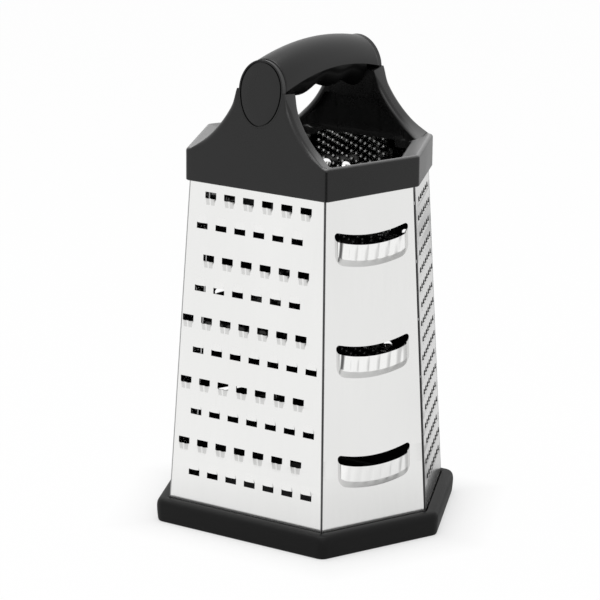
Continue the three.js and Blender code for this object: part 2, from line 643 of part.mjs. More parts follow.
// Collar: a swept skirt and rim, joined to both uprights where they rise from the wide sides.
function topCollar() {
  const mouth = COLLAR_STANDOFF - RIM_WIDTH;
  const lipOuter = mouth + MOUTH_LIP;
  const lipFoot = RIM_UNDER_Z - MOUTH_LIP_DROP;
  const outer = (offset, z) => ({ offset, z, radius: COLLAR_CORNER, outlineZ: COLLAR_FOOT_Z });
  const socket = (z) => ({ offset: FIT_GAP, z, radius: FIT_GAP });
  const profile = [
    outer(COLLAR_STANDOFF, COLLAR_FOOT_Z),
    outer(COLLAR_STANDOFF, COLLAR_TOP_Z - COLLAR_EDGE),
    outer(COLLAR_STANDOFF - COLLAR_EDGE, COLLAR_TOP_Z),
    outer(mouth + RIM_BEAD, COLLAR_TOP_Z),
    outer(mouth, COLLAR_TOP_Z - RIM_BEAD),
    outer(mouth, lipFoot),
    outer(lipOuter, lipFoot),
    outer(lipOuter, RIM_UNDER_Z),
    socket(RIM_UNDER_Z),
    socket(COLLAR_FOOT_Z),
  ];
  const outline = new THREE.Shape(roundedOutline(COLLAR_FOOT_Z, COLLAR_STANDOFF, COLLAR_CORNER));
  const envelope = new THREE.ExtrudeGeometry(outline, { depth: 2 * HANDLE_RISE, bevelEnabled: false });
  const upright = uprightSolid().intersect(manifoldOf(envelope.translate(0, 0, COLLAR_FOOT_Z)));
  const hollow = uprightHollow();
  const halfTurn = [0, 0, 180];
  const collar = manifoldOf(sweptRing(profile))
    .add(upright)
    .add(upright.rotate(halfTurn))
    .subtract(hollow)
    .subtract(hollow.rotate(halfTurn));
  const mesh = new THREE.Mesh(geometryOf(collar), plastic);
  mesh.name = 'top_collar';
  return mesh;
}

// Heights along the handle, as a share of the way from its middle to its end.
function handleHeights(share) {
  const bow = 1 - share ** 2;
  return {
    parting: PARTING_Z + HANDLE_ARCH * bow,
    crown: THREE.MathUtils.lerp(SHELL_MID_HEIGHT, SHELL_END_HEIGHT, share ** 2),
  };
}

// Sections along the handle, each lying between the two leaning end planes at a depth behind the faces.
function handleSections(stations, depth, outlineAt) {
  return Array.from({ length: stations }, (_, station) => {
    const share = -1 + (2 * station) / (stations - 1);
    const place = ({ y, z }) => new THREE.Vector3(share * leaningX(z, depth), y, z);
    return outlineAt((share * leaningX(PARTING_Z, depth)) / HANDLE_HALF_LENGTH).map(place);
  });
}

function halfOval(count, halfWidth, base, height, start) {
  return Array.from({ length: count + 1 }, (_, index) => {
    const angle = start + (Math.PI * index) / count;
    return { y: halfWidth * Math.cos(angle), z: base + height * Math.sin(angle) };
  });
}

// Smooth arched top of the handle, open below over the finger grip.
function gripShell() {
  const sections = handleSections(SHELL_STATIONS, CAP_SEAT, (share) => {
    const { parting, crown } = handleHeights(share);
    const outside = halfOval(CAP_STEPS, HANDLE_HALF_WIDTH, parting, crown, 0);
    const inside = halfOval(CAP_STEPS, HANDLE_HALF_WIDTH - SHELL_WALL, parting, crown - SHELL_WALL, 0);
    return outside.concat(inside.reverse());
  });
  const mesh = new THREE.Mesh(loftedBar(sections), plastic);
  mesh.name = 'grip_shell';
  return mesh;
}

// Lower half of the handle: its core fills the shell, and its underside has the finger waves.
function fingerGrip() {
  const depth = UPRIGHT_DEPTH + FIT_GAP;
  const inset = SHELL_WALL + FIT_GAP;
  const sections = handleSections(GRIP_STATIONS, depth, (share) => {
    const { parting, crown } = handleHeights(share);
    const phase = (2 * Math.PI * share * HANDLE_HALF_LENGTH) / FINGER_PITCH;
    const drop = GRIP_DROP - FINGER_WAVE * Math.cos(phase);
    const upper = halfOval(ARC_STEPS, CORE_HALF_WIDTH, parting, crown - inset, 0);
    const lower = halfOval(ARC_STEPS, CORE_HALF_WIDTH, parting, drop, Math.PI);
    return upper.concat(lower.slice(1, -1));
  });
  const tipDepth = CAP_SEAT + FIT_GAP + SCREW_HEAD_HEIGHT + SCREW_LENGTH + FIT_GAP;
  const bore = manifoldOf(boreCutter(SCREW_SHANK_RADIUS + FIT_GAP, 0, tipDepth));
  const hole = bore.transform(uprightMatrix().toArray());
  const core = manifoldOf(loftedBar(sections)).subtract(hole).subtract(hole.rotate([0, 0, 180]));
  const mesh = new THREE.Mesh(geometryOf(core), plastic);
  mesh.name = 'finger_grip';
  return mesh;
}

// Cap and screw at one end of the handle; the end at +X is the end at -X turned half round.
function handleEnd(name, turn) {
  const oval = endOval(HANDLE_HALF_WIDTH, SHELL_END_HEIGHT, CAP_DROP);
  const cap = new THREE.Mesh(plate(oval, 0, CAP_THICKNESS, CAP_STEPS), plastic);
  cap.name = `end_cap_${name}`;
  const screw = new THREE.Mesh(screwGeometry(), screwSteel);
  screw.name = `handle_screw_${name}`;
  screw.position.set(0, slopeAt(PARTING_Z), -CAP_SEAT - FIT_GAP);
  const face = new THREE.Group();
  face.applyMatrix4(uprightMatrix());
  face.add(cap, screw);
  const end = new THREE.Group();
  end.rotation.z = turn;
  end.add(face);
  return end;
}

const grater = new THREE.Group();
grater.name = 'box_grater';
grater.add(
  steelBody(),
  baseRing(),
  topCollar(),
  gripShell(),
  fingerGrip(),
  handleEnd('left', 0),
  handleEnd('right', Math.PI),
);

export default grater;
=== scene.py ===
"""Looks of a six-sided box grater: stamped steel panels, moulded collar, arched handle and soft foot ring."""
import math
from types import SimpleNamespace as Sizes

import bpy
import numpy as np
from mathutils import Matrix, Vector


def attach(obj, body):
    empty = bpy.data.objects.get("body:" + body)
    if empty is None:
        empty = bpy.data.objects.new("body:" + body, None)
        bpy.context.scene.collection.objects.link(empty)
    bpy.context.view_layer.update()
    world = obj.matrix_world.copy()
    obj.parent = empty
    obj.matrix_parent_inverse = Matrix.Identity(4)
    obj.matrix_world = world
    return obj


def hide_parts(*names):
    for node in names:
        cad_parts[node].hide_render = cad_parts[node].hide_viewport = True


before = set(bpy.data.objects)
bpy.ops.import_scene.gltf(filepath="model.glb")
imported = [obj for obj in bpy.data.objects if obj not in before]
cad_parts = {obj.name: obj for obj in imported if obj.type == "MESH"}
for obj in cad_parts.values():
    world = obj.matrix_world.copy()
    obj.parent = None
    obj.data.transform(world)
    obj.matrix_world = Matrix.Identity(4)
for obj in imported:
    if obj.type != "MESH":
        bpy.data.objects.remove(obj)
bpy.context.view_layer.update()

# Sizes in millimetres
MM = 0.001
FIT = 0.3
SHEET = 0.6
SIDES = 6
FOOT_Z, TOP_Z = 3.3, 184.0
FACE_X_FOOT, FACE_X_TOP = 56.7, 46.35
HALF_WIDTH_FOOT, HALF_WIDTH_TOP = 45.7, 38.9
GABLE = 0.44
SEAM_FLANGE, SEAM_BEND, BEND_STEPS = 1.4, 0.35, 5
HEM, COARSE_HEM, HEM_ROLL = 0.15, 0.65, 0.08
RING_Z, RING_WALL = 11.8, 2.6
COLLAR_Z, COLLAR_OUT, COLLAR_CORNER = 173.0, 1.8, 2.2
RIM_UNDER, RIM_Z, RIM_WIDTH, RIM_EDGE, MOUTH_BEAD = 184.3, 187.6, 9.3, 1.5, 1.4
MOUTH_LIP, LIP_DROP = 1.7, 3.4
NARROW_RIM, RIDGE_LIFT, SKIRT_LIFT, CORNER_LIFT, FUNNEL = 1.075, 2.2, 1.4, 1.6, 2.2
LEAN = math.radians(7.5)
UPRIGHT, FLARE, HOLLOW_WALL, HOLLOW_FOOT = 9.3, 55.0, 2.2, 3.0
FLANK_FRONT, FLANK_BACK, NECK_EDGE, SEAT_EDGE = 3.0, 2.4, 0.3, 0.06
NECK_MARGIN = 1.2
PARTING_Z, ARCH, HANDLE_HALF = RIM_Z + 33.6, 5.7, 12.5
SHELL_END, SHELL_MID, SHELL_WALL = 14.5, 13.1, 2.2
GRIP_DROP, BAND, FINGER_PITCH, FINGER_WAVE = 11.0, 1.4, 25.0, 1.3
CAP, CAP_DROP, CAP_GAP = 2.6, 18.0, 0.03
CAP_SEAT = CAP + FIT
SKIRT_EDGE, HAIR = 0.4, 0.04
EDGE_FADE, FUNNEL_FADE, HIGHLIGHT_FADE = 6.0, 8.0, 12.0

# Rows of the collar where the painted highlight starts, is full and ends, on the rim and on the flanks
RIM_HIGHLIGHT, FLANK_HIGHLIGHT = (2, 6, 20, 25), (5, 8, 13, 15)

# Powers of the share from root to lip by which a tooth widens, climbs and dips, and where its flutes' faces lie: from
# a share of that way on, and between two shares of the half width
WIDEN, CLIMB, DIP = 0.6, 1.7, 3
FLUTE_FROM, FLUTE_INNER, FLUTE_OUTER = 0.3, 0.12, 0.9

# Angles in degrees past which an edge is crisp
CREASE, PANEL_CREASE, BAR_CREASE = 38.0, 30.0, 50.0

COARSE = Sizes(width=6.4, root=4.6, reach=4.6, opening=3.0, rise=0.9, valley=0.7, flutes=2, moon=0.0, dip=0.12)
MEDIUM = Sizes(width=4.0, root=0.7, reach=2.6, opening=2.3, rise=0.6, flutes=1, moon=0.4, dip=0.0)
SHREDDER = Sizes(width=5.2, root=1.0, reach=4.2, opening=2.3, rise=1.8, flutes=1, moon=0.6, dip=0.0)
RIPPLE = Sizes(opening=4.4, sag=3.3, drop=11.2, rise=2.8, belly=1.6, ripple=0.5, ribs=7, corner=4.5)
PLAIN = Sizes(opening=3.2, sag=0.0, drop=9.0, rise=3.0, belly=2.3, ripple=0.0, ribs=6, corner=4.0)


def lerp(start, end, share):
    """Point a share of the way from start to end."""
    return start + (end - start) * share


def smooth(value):
    """0 below 0, 1 above 1, and t*t*(3 - 2t) between."""
    value = np.clip(value, 0, 1)
    return value * value * (3 - 2 * value)


def unit(vector):
    """The vector at length 1."""
    return vector / np.linalg.norm(vector, axis=-1, keepdims=True)


def corners_at(z, offset=0.0, narrow=None):
    """Six corners of the tapered body at a height, from -X -Y anticlockwise, each side moved out by an offset, which
    may be another one on the narrow sides."""
    face = lerp(FACE_X_FOOT, FACE_X_TOP, z / TOP_Z)
    ridge = lerp(HALF_WIDTH_FOOT, HALF_WIDTH_TOP, z / TOP_Z) + GABLE * face
    ridge += (offset if narrow is None else narrow) * math.hypot(1, GABLE)
    x = face + offset
    y = ridge - GABLE * x
    return np.array([[-x, -y], [0, -ridge], [x, -y], [x, y], [0, ridge], [-x, y]])


def side_line(z, side, offset=0.0):
    """One side as a line normal . p = distance, with its direction first."""
    corners = corners_at(z)
    along = unit(corners[(side + 1) % SIDES] - corners[side % SIDES])
    normal = np.array([along[1], -along[0]])
    return along, normal, normal @ corners[side % SIDES] + offset


def meet(first, second):
    """Point on both lines."""
    return np.linalg.solve(np.stack([first[1], second[1]]), [first[2], second[2]])


def rounded_corners(z, offset, radius, steps=6, narrow=None):
    """The six corners as arcs: centre + radius * (cos a, sin a), with a from one side's normal to the next one's."""
    corners = corners_at(z, offset, narrow)
    after = np.array([side_line(z, side)[1] for side in range(SIDES)])
    before = np.roll(after, 1, 0)
    middle = unit(before + after)
    centre = corners - middle * (radius / np.sum(middle * after, 1))[:, None]
    start = np.arctan2(before[:, 1], before[:, 0])
    turn = np.arccos(np.sum(before * after, 1))
    angle = start[:, None] + turn[:, None] * np.linspace(0, 1, steps)
    return centre[:, None] + radius * np.stack([np.cos(angle), np.sin(angle)], -1)


def grid_quads(ids):
    """Quads between neighbouring rows and columns of a grid of point numbers."""
    return np.stack([ids[1:, :-1], ids[1:, 1:], ids[:-1, 1:], ids[:-1, :-1]], -1).reshape(-1, 4)


def add_piece(name, points, faces, nodes, finishes, kinds=None, crease=CREASE):
    """A mesh piece in the CAD frame that stands for its nodes. Its quads are smooth, but for edges that turn past the
    crease angle, and its faces with more corners are flat."""
    mesh = bpy.data.meshes.new(name)
    mesh.from_pydata((points * MM).tolist(), [], faces)
    for finish in finishes:
        mesh.materials.append(finish)
    if kinds is not None:
        mesh.polygons.foreach_set("material_index", kinds)
    mesh.calc_loop_triangles()
    corners = np.empty(len(mesh.loop_triangles) * 3, np.int32)
    mesh.loop_triangles.foreach_get("vertices", corners)
    a, b, c = points[corners].reshape(-1, 3, 3).transpose(1, 0, 2)
    if np.sum(a * np.cross(b, c)) < 0:
        mesh.flip_normals()
    mesh.set_sharp_from_angle(angle=math.radians(crease))
    mesh.polygons.foreach_set("use_smooth", np.array([len(face) for face in faces]) == 4)
    piece = bpy.data.objects.new(name, mesh)
    bpy.context.scene.collection.objects.link(piece)
    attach(piece, "root")
    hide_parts(*nodes)
    return piece


# Finishes

# Numbers of the outputs that are used of the Texture Coordinate and Light Path nodes
OBJECT_OUTPUT = 3
CAMERA_RAY, GLOSSY_RAY, TRANSMISSION_RAY = 0, 3, 6

SHEET_RELIEF, SHEET_BUMP, GRAIN_BUMP = 0.05, 0.0004, 0.0002
# Height in metres above which the inside keeps its bright steel, and how fast its painted shade gives way below
BRIGHT_FROM, BRIGHT_RATE = 0.15, 60
# Colour of the painted highlight on the collar's rim and flanks' feet
HIGHLIGHT_COLOUR = (0.2, 0.2, 0.2)


class Socket:
    """An output socket of a node tree; arithmetic on it adds Math nodes."""

    def __init__(self, tree, output=None):
        self.tree = tree
        self.output = output

    def node(self, kind, settings=None, sockets=None, pick=0):
        """Adds a node: its settings first, a ramp's stops among them, then the values or links of its sockets."""
        made = self.tree.nodes.new(kind)
        for key, value in (settings or {}).items():
            if key == "stops":
                while len(made.color_ramp.elements) < len(value):
                    made.color_ramp.elements.new(1.0)
                for element, (place, colour) in zip(made.color_ramp.elements, value):
                    element.position, element.color = place, (*colour, 1.0)
            else:
                setattr(made, key, value)
        for key, value in (sockets or {}).items():
            if isinstance(value, Socket):
                self.tree.links.new(value.output, made.inputs[key])
            else:
                made.inputs[key].default_value = value
        return Socket(self.tree, made.outputs[pick] if made.outputs else None)

    def math(self, operation, first, second=0.0):
        return self.node("ShaderNodeMath", {"operation": operation}, {0: first, 1: second})

    def __add__(self, other):
        return self.math("ADD", self, other)

    def __mul__(self, other):
        return self.math("MULTIPLY", self, other)

    def __sub__(self, other):
        return self.math("SUBTRACT", self, other)

    def __rsub__(self, other):
        return self.math("SUBTRACT", other, self)

    __radd__ = __add__
    __rmul__ = __mul__

    def clamped(self):
        return self.node("ShaderNodeClamp", sockets={"Value": self})

    def mixed(self, first, second):
        """Colour between two colours by this value."""
        return self.node("ShaderNodeMix", {"data_type": "RGBA"}, {0: self, 6: first, 7: second}, pick=2)


def new_tree(owner):
    """An empty node tree on a material or world."""
    owner.use_nodes = True
    owner.node_tree.nodes.clear()
    return Socket(owner.node_tree)


def object_place(tree):
    """Object coordinates."""
    return tree.node("ShaderNodeTexCoord", pick=OBJECT_OUTPUT)


def noise(tree, scale, stretch=(1, 1, 1), detail=3.0):
    """Noise on Object coordinates, scaled per axis."""
    place = tree.node("ShaderNodeMapping", sockets={"Vector": object_place(tree), "Scale": stretch})
    return tree.node("ShaderNodeTexNoise", sockets={"Vector": place, "Scale": scale, "Detail": detail})


def surface(tree, **values):
    """Principled surface and the material's output."""
    shader = tree.node("ShaderNodeBsdfPrincipled", sockets={k.replace("_", " "): v for k, v in values.items()})
    tree.node("ShaderNodeOutputMaterial", sockets={"Surface": shader})


def rolled_marks(tree):
    """Soft clouds and fine rolling lines, both drawn out along the height."""
    return noise(tree, 22.0, (1, 1, 0.35)), noise(tree, 900.0, (1, 1, 0.02), 2.0)


def sheet_steel(name, light, dark, roughness, streak):
    """Rolled stainless sheet: soft bands along the height, fine rolling lines and a faint waviness."""
    material = bpy.data.materials.new(name)
    tree = new_tree(material)
    clouds, lines = rolled_marks(tree)
    waves = noise(tree, 60.0, (1, 1, 0.4), 1.0)
    shade = (clouds * 0.7 + lines * 0.3 - 0.5) * 1.6 + 0.5
    height = waves + lines * streak
    bump = tree.node("ShaderNodeBump", sockets={"Strength": SHEET_RELIEF, "Distance": SHEET_BUMP, "Height": height})
    surface(
        tree,
        Base_Color=shade.clamped().mixed((*dark, 1), (*light, 1)),
        Metallic=1.0,
        Roughness=lines * 0.08 + clouds * 0.06 + (roughness - 0.07),
        Normal=bump,
    )
    return material


def shaded_inside_steel(name, deep_shade, bright):
    """Inside of the sheet: painted dark below the mouth as shade inside the body, and bright near the mouth; soft
    clouds and fine lines.
    """
    material = bpy.data.materials.new(name)
    tree = new_tree(material)
    height = tree.node("ShaderNodeSeparateXYZ", sockets={"Vector": object_place(tree)}, pick=2)
    near_mouth = ((height - BRIGHT_FROM) * BRIGHT_RATE).clamped()
    clouds, lines = rolled_marks(tree)
    shade = near_mouth.mixed((*deep_shade, 1), (*bright, 1))
    surface(
        tree,
        Base_Color=(clouds * 0.3 + lines * 0.1).clamped().mixed(shade, (*deep_shade, 1)),
        Metallic=1.0,
        Roughness=lines * 0.04 + clouds * 0.02 + 0.01,
    )
    return material


def moulded(name, light, dark, roughness, grain, depth, specular):
    """Moulded black plastic or rubber: a fine pebbled grain and soft clouds, and paler where its points carry a
    painted highlight."""
    material = bpy.data.materials.new(name)
    tree = new_tree(material)
    pebbles = noise(tree, grain, detail=2.0)
    clouds = noise(tree, 35.0)
    shade = (clouds * 0.6 + pebbles * 0.4 - 0.5) * 1.8 + 0.5
    rubbed = tree.node("ShaderNodeAttribute", {"attribute_name": "rubbed"}, pick=2)
    colour = shade.clamped().mixed((*dark, 1), (*light, 1))
    bump = tree.node("ShaderNodeBump", sockets={"Strength": depth, "Distance": GRAIN_BUMP, "Height": pebbles})
    surface(
        tree,
        Base_Color=rubbed.clamped().mixed(colour, (*HIGHLIGHT_COLOUR, 1)),
        Roughness=clouds * 0.12 + pebbles * 0.08 + (roughness - 0.1),
        Specular_IOR_Level=specular,
        Normal=bump,
    )
    return material


STEEL_FACE = sheet_steel("rolled_steel", (0.9, 0.9, 0.89), (0.83, 0.83, 0.82), 0.16, 0.3)
# Inside of the sheets: painted dark low down as shade inside the body
STEEL_INSIDE = shaded_inside_steel("steel_inside", (0.07, 0.07, 0.069), (0.68, 0.68, 0.67))
# Hem and flange: darker steel painted as shade in the seams between panels
STEEL_SEAM_SHADE = sheet_steel("seam_shaded_steel", (0.42, 0.42, 0.42), (0.3, 0.3, 0.3), 0.3, 0.3)
# Walls of the edges and holes: painted near black as shade inside the holes and gaps
STEEL_CUT_SHADE = sheet_steel("cut_shade_steel", (0.09, 0.09, 0.09), (0.05, 0.05, 0.05), 0.35, 0.3)
# Lighter steel painted as a highlight on the hood ribs
STEEL_RIB_HIGHLIGHT = sheet_steel("rib_highlight_steel", (0.98, 0.98, 0.97), (0.94, 0.94, 0.93), 0.12, 0.2)
# Greyer steel painted as the shade that hood feet and tooth flutes reflect
STEEL_REFLECTED_SHADE = sheet_steel("reflected_shade_steel", (0.74, 0.74, 0.73), (0.66, 0.66, 0.65), 0.3, 0.3)
PLASTIC = moulded("moulded_plastic", (0.008, 0.008, 0.008), (0.004, 0.004, 0.004), 0.29, 1600.0, 0.06, 0.38)
RUBBER = moulded("soft_rubber", (0.006, 0.006, 0.006), (0.003, 0.003, 0.003), 0.5, 1100.0, 0.15, 0.16)
SHELL = moulded("satin_shell", (0.008, 0.008, 0.008), (0.004, 0.004, 0.004), 0.36, 1600.0, 0.06, 0.26)
# Finger grip: painted darker than the other plastic as shade under the handle
SHADED_GRIP = moulded("shaded_grip", (0.004, 0.004, 0.004), (0.002, 0.002, 0.002), 0.5, 1300.0, 0.1, 0.12)
SCREW = sheet_steel("bright_screw", (0.62, 0.62, 0.64), (0.5, 0.5, 0.52), 0.3, 0.6)

# A panel's finishes and their numbers
PANEL_FINISHES = [STEEL_FACE, STEEL_INSIDE, STEEL_SEAM_SHADE, STEEL_CUT_SHADE, STEEL_RIB_HIGHLIGHT, STEEL_REFLECTED_SHADE]
FACE, INSIDE, SEAM_SHADE, CUT_SHADE, RIB_HIGHLIGHT, REFLECTED_SHADE = range(len(PANEL_FINISHES))


# Steel panels


def panel_edges(side, z):
    """Front and back of a panel's free edges at a height: left edge, arc round the right corner, end of the flange."""
    tuck = SHEET + FIT
    here, behind, before = side_line(z, side), side_line(z, side + 1, -tuck), side_line(z, side - 1)
    turn = math.acos(here[1] @ behind[1])
    start = meet(here, behind) - here[0] * SEAM_BEND * math.tan(turn / 2)
    angle = np.linspace(0, turn, BEND_STEPS)[:, None]
    out = np.cos(angle) * here[1] + np.sin(angle) * here[0]
    arc = start - SEAM_BEND * here[1] + SEAM_BEND * out
    front = np.vstack([meet(here, before), arc, arc[-1] + behind[0] * SEAM_FLANGE])
    back = np.vstack([meet(side_line(z, side, -SHEET), before), front[1:] - SHEET * np.vstack([out, out[-1]])])
    return [np.column_stack([points, np.full(len(points), z)]) for points in (front, back)]


def panel_frame(side):
    """A panel's own frame: u to the right as seen from outside, v up the slope and n outward, with its edges at foot
    and top in it."""
    foot, top = panel_edges(side, FOOT_Z), panel_edges(side, TOP_Z)
    origin = foot[0][0]
    across = unit(foot[0][1] - origin)
    outward = unit(np.cross(across, top[0][0] - origin))
    axes = np.stack([across, np.cross(outward, across), outward])
    front = [(edges[0] - origin) @ axes.T for edges in (foot, top)]
    back = [(edges[1] - origin) @ axes.T for edges in (foot, top)]
    height = front[1][0, 1]
    turn = math.acos(side_line(FOOT_Z, side)[1] @ side_line(FOOT_Z, side + 1)[1])
    bend = SEAM_BEND * math.tan(turn / 2)
    return Sizes(
        origin=origin,
        axes=axes,
        front=front,
        back=back,
        height=height,
        level=lambda z: (z - FOOT_Z) / (TOP_Z - FOOT_Z) * height,
        left=lambda v: lerp(front[0][0, 0], front[1][0, 0], v / height),
        right=lambda v: lerp(front[0][1, 0], front[1][1, 0], v / height) + bend,
    )


def band(u, v, n, gaps, kinds=None):
    """A strip of the sheet as grids of u, v and n from the top down, with a column for each side edge added. Each quad
    has a number of a finish, which is the plain face's where none is given."""
    return Sizes(
        u=np.pad(u, ((0, 0), (1, 1))),
        v=np.pad(v, ((0, 0), (1, 1)), "edge"),
        n=np.pad(n, ((0, 0), (1, 1))),
        gaps=np.pad(gaps, ((0, 0), (1, 1))),
        kinds=np.pad(np.full(gaps.shape, FACE) if kinds is None else kinds, ((0, 0), (1, 1)), constant_values=FACE),
    )


def stamped_panel(name, node, side, bands_of, hem_width=HEM):
    """A stamped sheet: grids for the bands, one flat face between each two, a rolled hem at the left edge, a bent
    flange at the right one, and the sheet's thickness. Hem and flange are painted darker as shade in the seams, the
    walls of the edges and holes are painted near black as shade in them, and the back has the inside's finish,
    painted dark as shade inside the body."""
    sheet = panel_frame(side)

    def edge(v):
        """The sheet's top or foot: a band of one row with no quads."""
        flat, none = np.zeros((1, 2)), np.zeros((0, 1))
        return Sizes(u=flat, v=flat + v, n=flat, gaps=none.astype(bool), kinds=none.astype(int))

    front, back, quads, flats, lefts, rights, shares, faced = [], [], [], [], [], [], [], []
    start, above = 0, None
    for strip in [edge(sheet.height), *bands_of(sheet), edge(0.0)]:
        points = np.stack([strip.u, strip.v, strip.n], -1)
        under = points - [0, 0, SHEET]
        share = (strip.v / sheet.height)[..., None]
        points[:, 0] = lerp(sheet.front[0][0], sheet.front[1][0], share[:, 0]) + [hem_width, 0, 0]
        under[:, 0] = points[:, 0] - [0, 0, SHEET]
        points[:, -1] = lerp(sheet.front[0][1], sheet.front[1][1], share[:, -1])
        under[:, -1] = lerp(sheet.back[0][1], sheet.back[1][1], share[:, -1])
        ids = start + np.arange(strip.u.size).reshape(strip.u.shape)
        quads.append(grid_quads(ids)[~strip.gaps.ravel()])
        faced.append(strip.kinds.ravel()[~strip.gaps.ravel()])
        if above is not None:
            flats.append(np.concatenate([ids[0], above[::-1]]))
        above = ids[-1]
        start += ids.size
        front.append(points.reshape(-1, 3))
        back.append(under.reshape(-1, 3))
        lefts.append(ids[:, 0])
        rights.append(ids[:, -1])
        shares.append(share[:, -1])
    share = np.concatenate(shares)[:, None]
    bent = [0, *range(2, BEND_STEPS + 2)]
    turned = [lerp(foot, top, share)[:, bent] for foot, top in (sheet.front, sheet.back)]
    turned[0][:, 0, 2] -= HEM_ROLL
    front.append(turned[0].reshape(-1, 3))
    back.append(turned[1].reshape(-1, 3))
    ids = start + np.arange(turned[0].size // 3).reshape(turned[0].shape[:2])
    flange = grid_quads(np.column_stack([np.concatenate(rights), ids[:, 1:]]))
    hem = grid_quads(np.column_stack([ids[:, 0], np.concatenate(lefts)]))
    face_count = sum(len(part) for part in quads)
    quads = np.concatenate([*quads, flange, hem])
    front, back = np.concatenate(front), np.concatenate(back)
    count = len(front)
    edges = [np.stack([quads, np.roll(quads, -1, 1)], -1).reshape(-1, 2)]
    edges = np.concatenate(edges + [np.column_stack([flat, np.roll(flat, -1)]) for flat in flats])
    rim = edges[~np.isin(edges @ [count, 1], edges @ [1, count])]
    walls = np.column_stack([rim[:, ::-1], rim + count])
    faces = [*quads.tolist(), *[flat.tolist() for flat in flats], *walls.tolist()]
    faces += [*(quads[:, ::-1] + count).tolist(), *[(flat[::-1] + count).tolist() for flat in flats]]
    parts = [len(quads) - face_count, len(flats), len(walls), len(quads) + len(flats)]
    kinds = np.concatenate([*faced, np.repeat([SEAM_SHADE, FACE, CUT_SHADE, INSIDE], parts)]).astype(np.int32)
    points = np.concatenate([front, back]) @ sheet.axes + sheet.origin
    return add_piece(name, points, faces, [node], PANEL_FINISHES, kinds, PANEL_CREASE)


def tooth_band(centres, root, turn, tooth, across, along, kind=FACE):
    """A row of punched teeth. With p from -1 to 1 across and q from 0 at the root to 1 at the lip, the sheet rises as
    rise * q**climb * crown(p). The crown is 1 - p*p, or on a fluted tooth 1 - p**4 with a valley between its flutes,
    on whose crests the lip dips back. The hole lies between the lip and its far edge, which is straight or bowed. The
    flutes' faces have the given kind of finish."""
    p = np.tile(across, len(centres))[None]
    q = np.concatenate([[1.0], along])[:, None]
    half = lerp(tooth.root, tooth.width, q ** WIDEN) / 2
    u = np.repeat(centres, len(across)) + p * half
    far = tooth.opening * (1 - tooth.moon * (1 - np.sqrt(1 - p * p)))
    v = q * tooth.reach - tooth.dip * q ** DIP * (0.5 - 0.5 * np.cos(2 * np.pi * p))
    v[0] = (tooth.reach + far)[0]
    if tooth.flutes > 1:
        crown = (1 - p ** 4) * (1 - (1 - tooth.valley) * (0.5 + 0.5 * np.cos(tooth.flutes * np.pi * p)))
    else:
        crown = 1 - p * p
    n = tooth.rise * q ** CLIMB * crown
    n[0] = 0
    same = np.repeat(np.arange(len(centres)), len(across))
    gaps = np.zeros((len(q) - 1, p.size - 1), bool)
    gaps[0] = same[1:] == same[:-1]
    side = np.abs(p[:, 1:] + p[:, :-1]) / 2
    climbed = (q[1:] + q[:-1]) / 2 > FLUTE_FROM
    fluted = climbed & (side > FLUTE_INNER) & (side < FLUTE_OUTER) & gaps[0]
    kinds = np.where(fluted, kind, FACE)
    v = root + turn * v
    return band(*(grid[::turn] for grid in (u, v, n, gaps, kinds)))


def row_levels(sheet, top, bottom, pitch):
    """Levels of a pattern's rows from the collar down to the ring."""
    first = sheet.level(COLLAR_Z) - top
    count = math.floor((first - sheet.level(RING_Z) - bottom) / pitch) + 1
    return first - pitch * np.arange(count)


def spread(count, pitch):
    """Places at a pitch about their middle."""
    return (np.arange(count) - (count - 1) / 2) * pitch


def coarse_bands(sheet, pitch=11.0, row_pitch=15.55, top=6.0, bottom=12.0, edge=5.1, stagger=2.2, shift=-0.8):
    """Rows of fluted teeth that point up and down in turn, moved sideways in turn."""
    across = np.linspace(-1, 1, 17)
    along = np.array([1, 0.82, 0.64, 0.46, 0.28, 0.12, 0])
    bands = []
    for row, hole in enumerate(row_levels(sheet, top, bottom, row_pitch)):
        turn = 1 if row % 2 == 0 else -1
        room = sheet.right(hole) - sheet.left(hole) - 2 * edge - COARSE.width
        count = math.floor(room / pitch) + 1
        middle = (sheet.left(hole) + sheet.right(hole)) / 2 + shift + turn * (stagger - count % 2 * pitch / 2)
        root = hole - turn * (COARSE.reach + COARSE.opening / 2)
        # The flutes of teeth that point up are painted darker as the shade they reflect from the floor near the foot
        kind = REFLECTED_SHADE if turn > 0 else FACE
        bands.append(tooth_band(middle + spread(count, pitch), root, turn, COARSE, across, along, kind))
    return bands


def staggered_bands(tooth, pitch, row_pitch, edge, margin, shift):
    """Level rows of single teeth; every second row, from the first on, is one short and so moved by half a pitch."""
    across, along = np.linspace(-1, 1, 7), np.array([1, 0.7, 0.4, 0])

    def bands_of(sheet):
        bands = []
        for row, root in enumerate(row_levels(sheet, margin, margin, row_pitch)):
            count = math.floor((sheet.right(root) - sheet.left(root) - 2 * edge) / pitch) + row % 2
            centres = (sheet.left(root) + sheet.right(root)) / 2 + shift + spread(count, pitch)
            bands.append(tooth_band(centres, root, 1, tooth, across, along))
        return bands

    return bands_of


def rasp_bands(sheet, pitch=5.9, row_pitch=2.2, edge=4.0, margin=6.0, radius=1.05, hole=0.48, rise=0.8):
    """Rows of punched points: a square patch whose four inner corners are torn up round a small hole."""
    bands = []
    place = np.array([-1, -hole, hole, 1])
    for row, level in enumerate(row_levels(sheet, margin, margin, row_pitch)):
        count = math.floor((sheet.right(level) - sheet.left(level) - 2 * edge) / pitch) + 1 - row % 2
        centres = (sheet.left(level) + sheet.right(level)) / 2 + spread(count, pitch)
        p = np.tile(place, count)
        u = np.repeat(centres, len(place)) + p * radius + np.zeros((len(place), 1))
        v = level - place[:, None] * radius + np.zeros_like(p)
        up = (np.abs(place)[:, None] < 1) & (np.abs(p) < 1)
        gaps = np.zeros((len(place) - 1, p.size - 1), bool)
        gaps[1, 1::len(place)] = True
        bands.append(band(u, v, rise * up, gaps))
    return bands


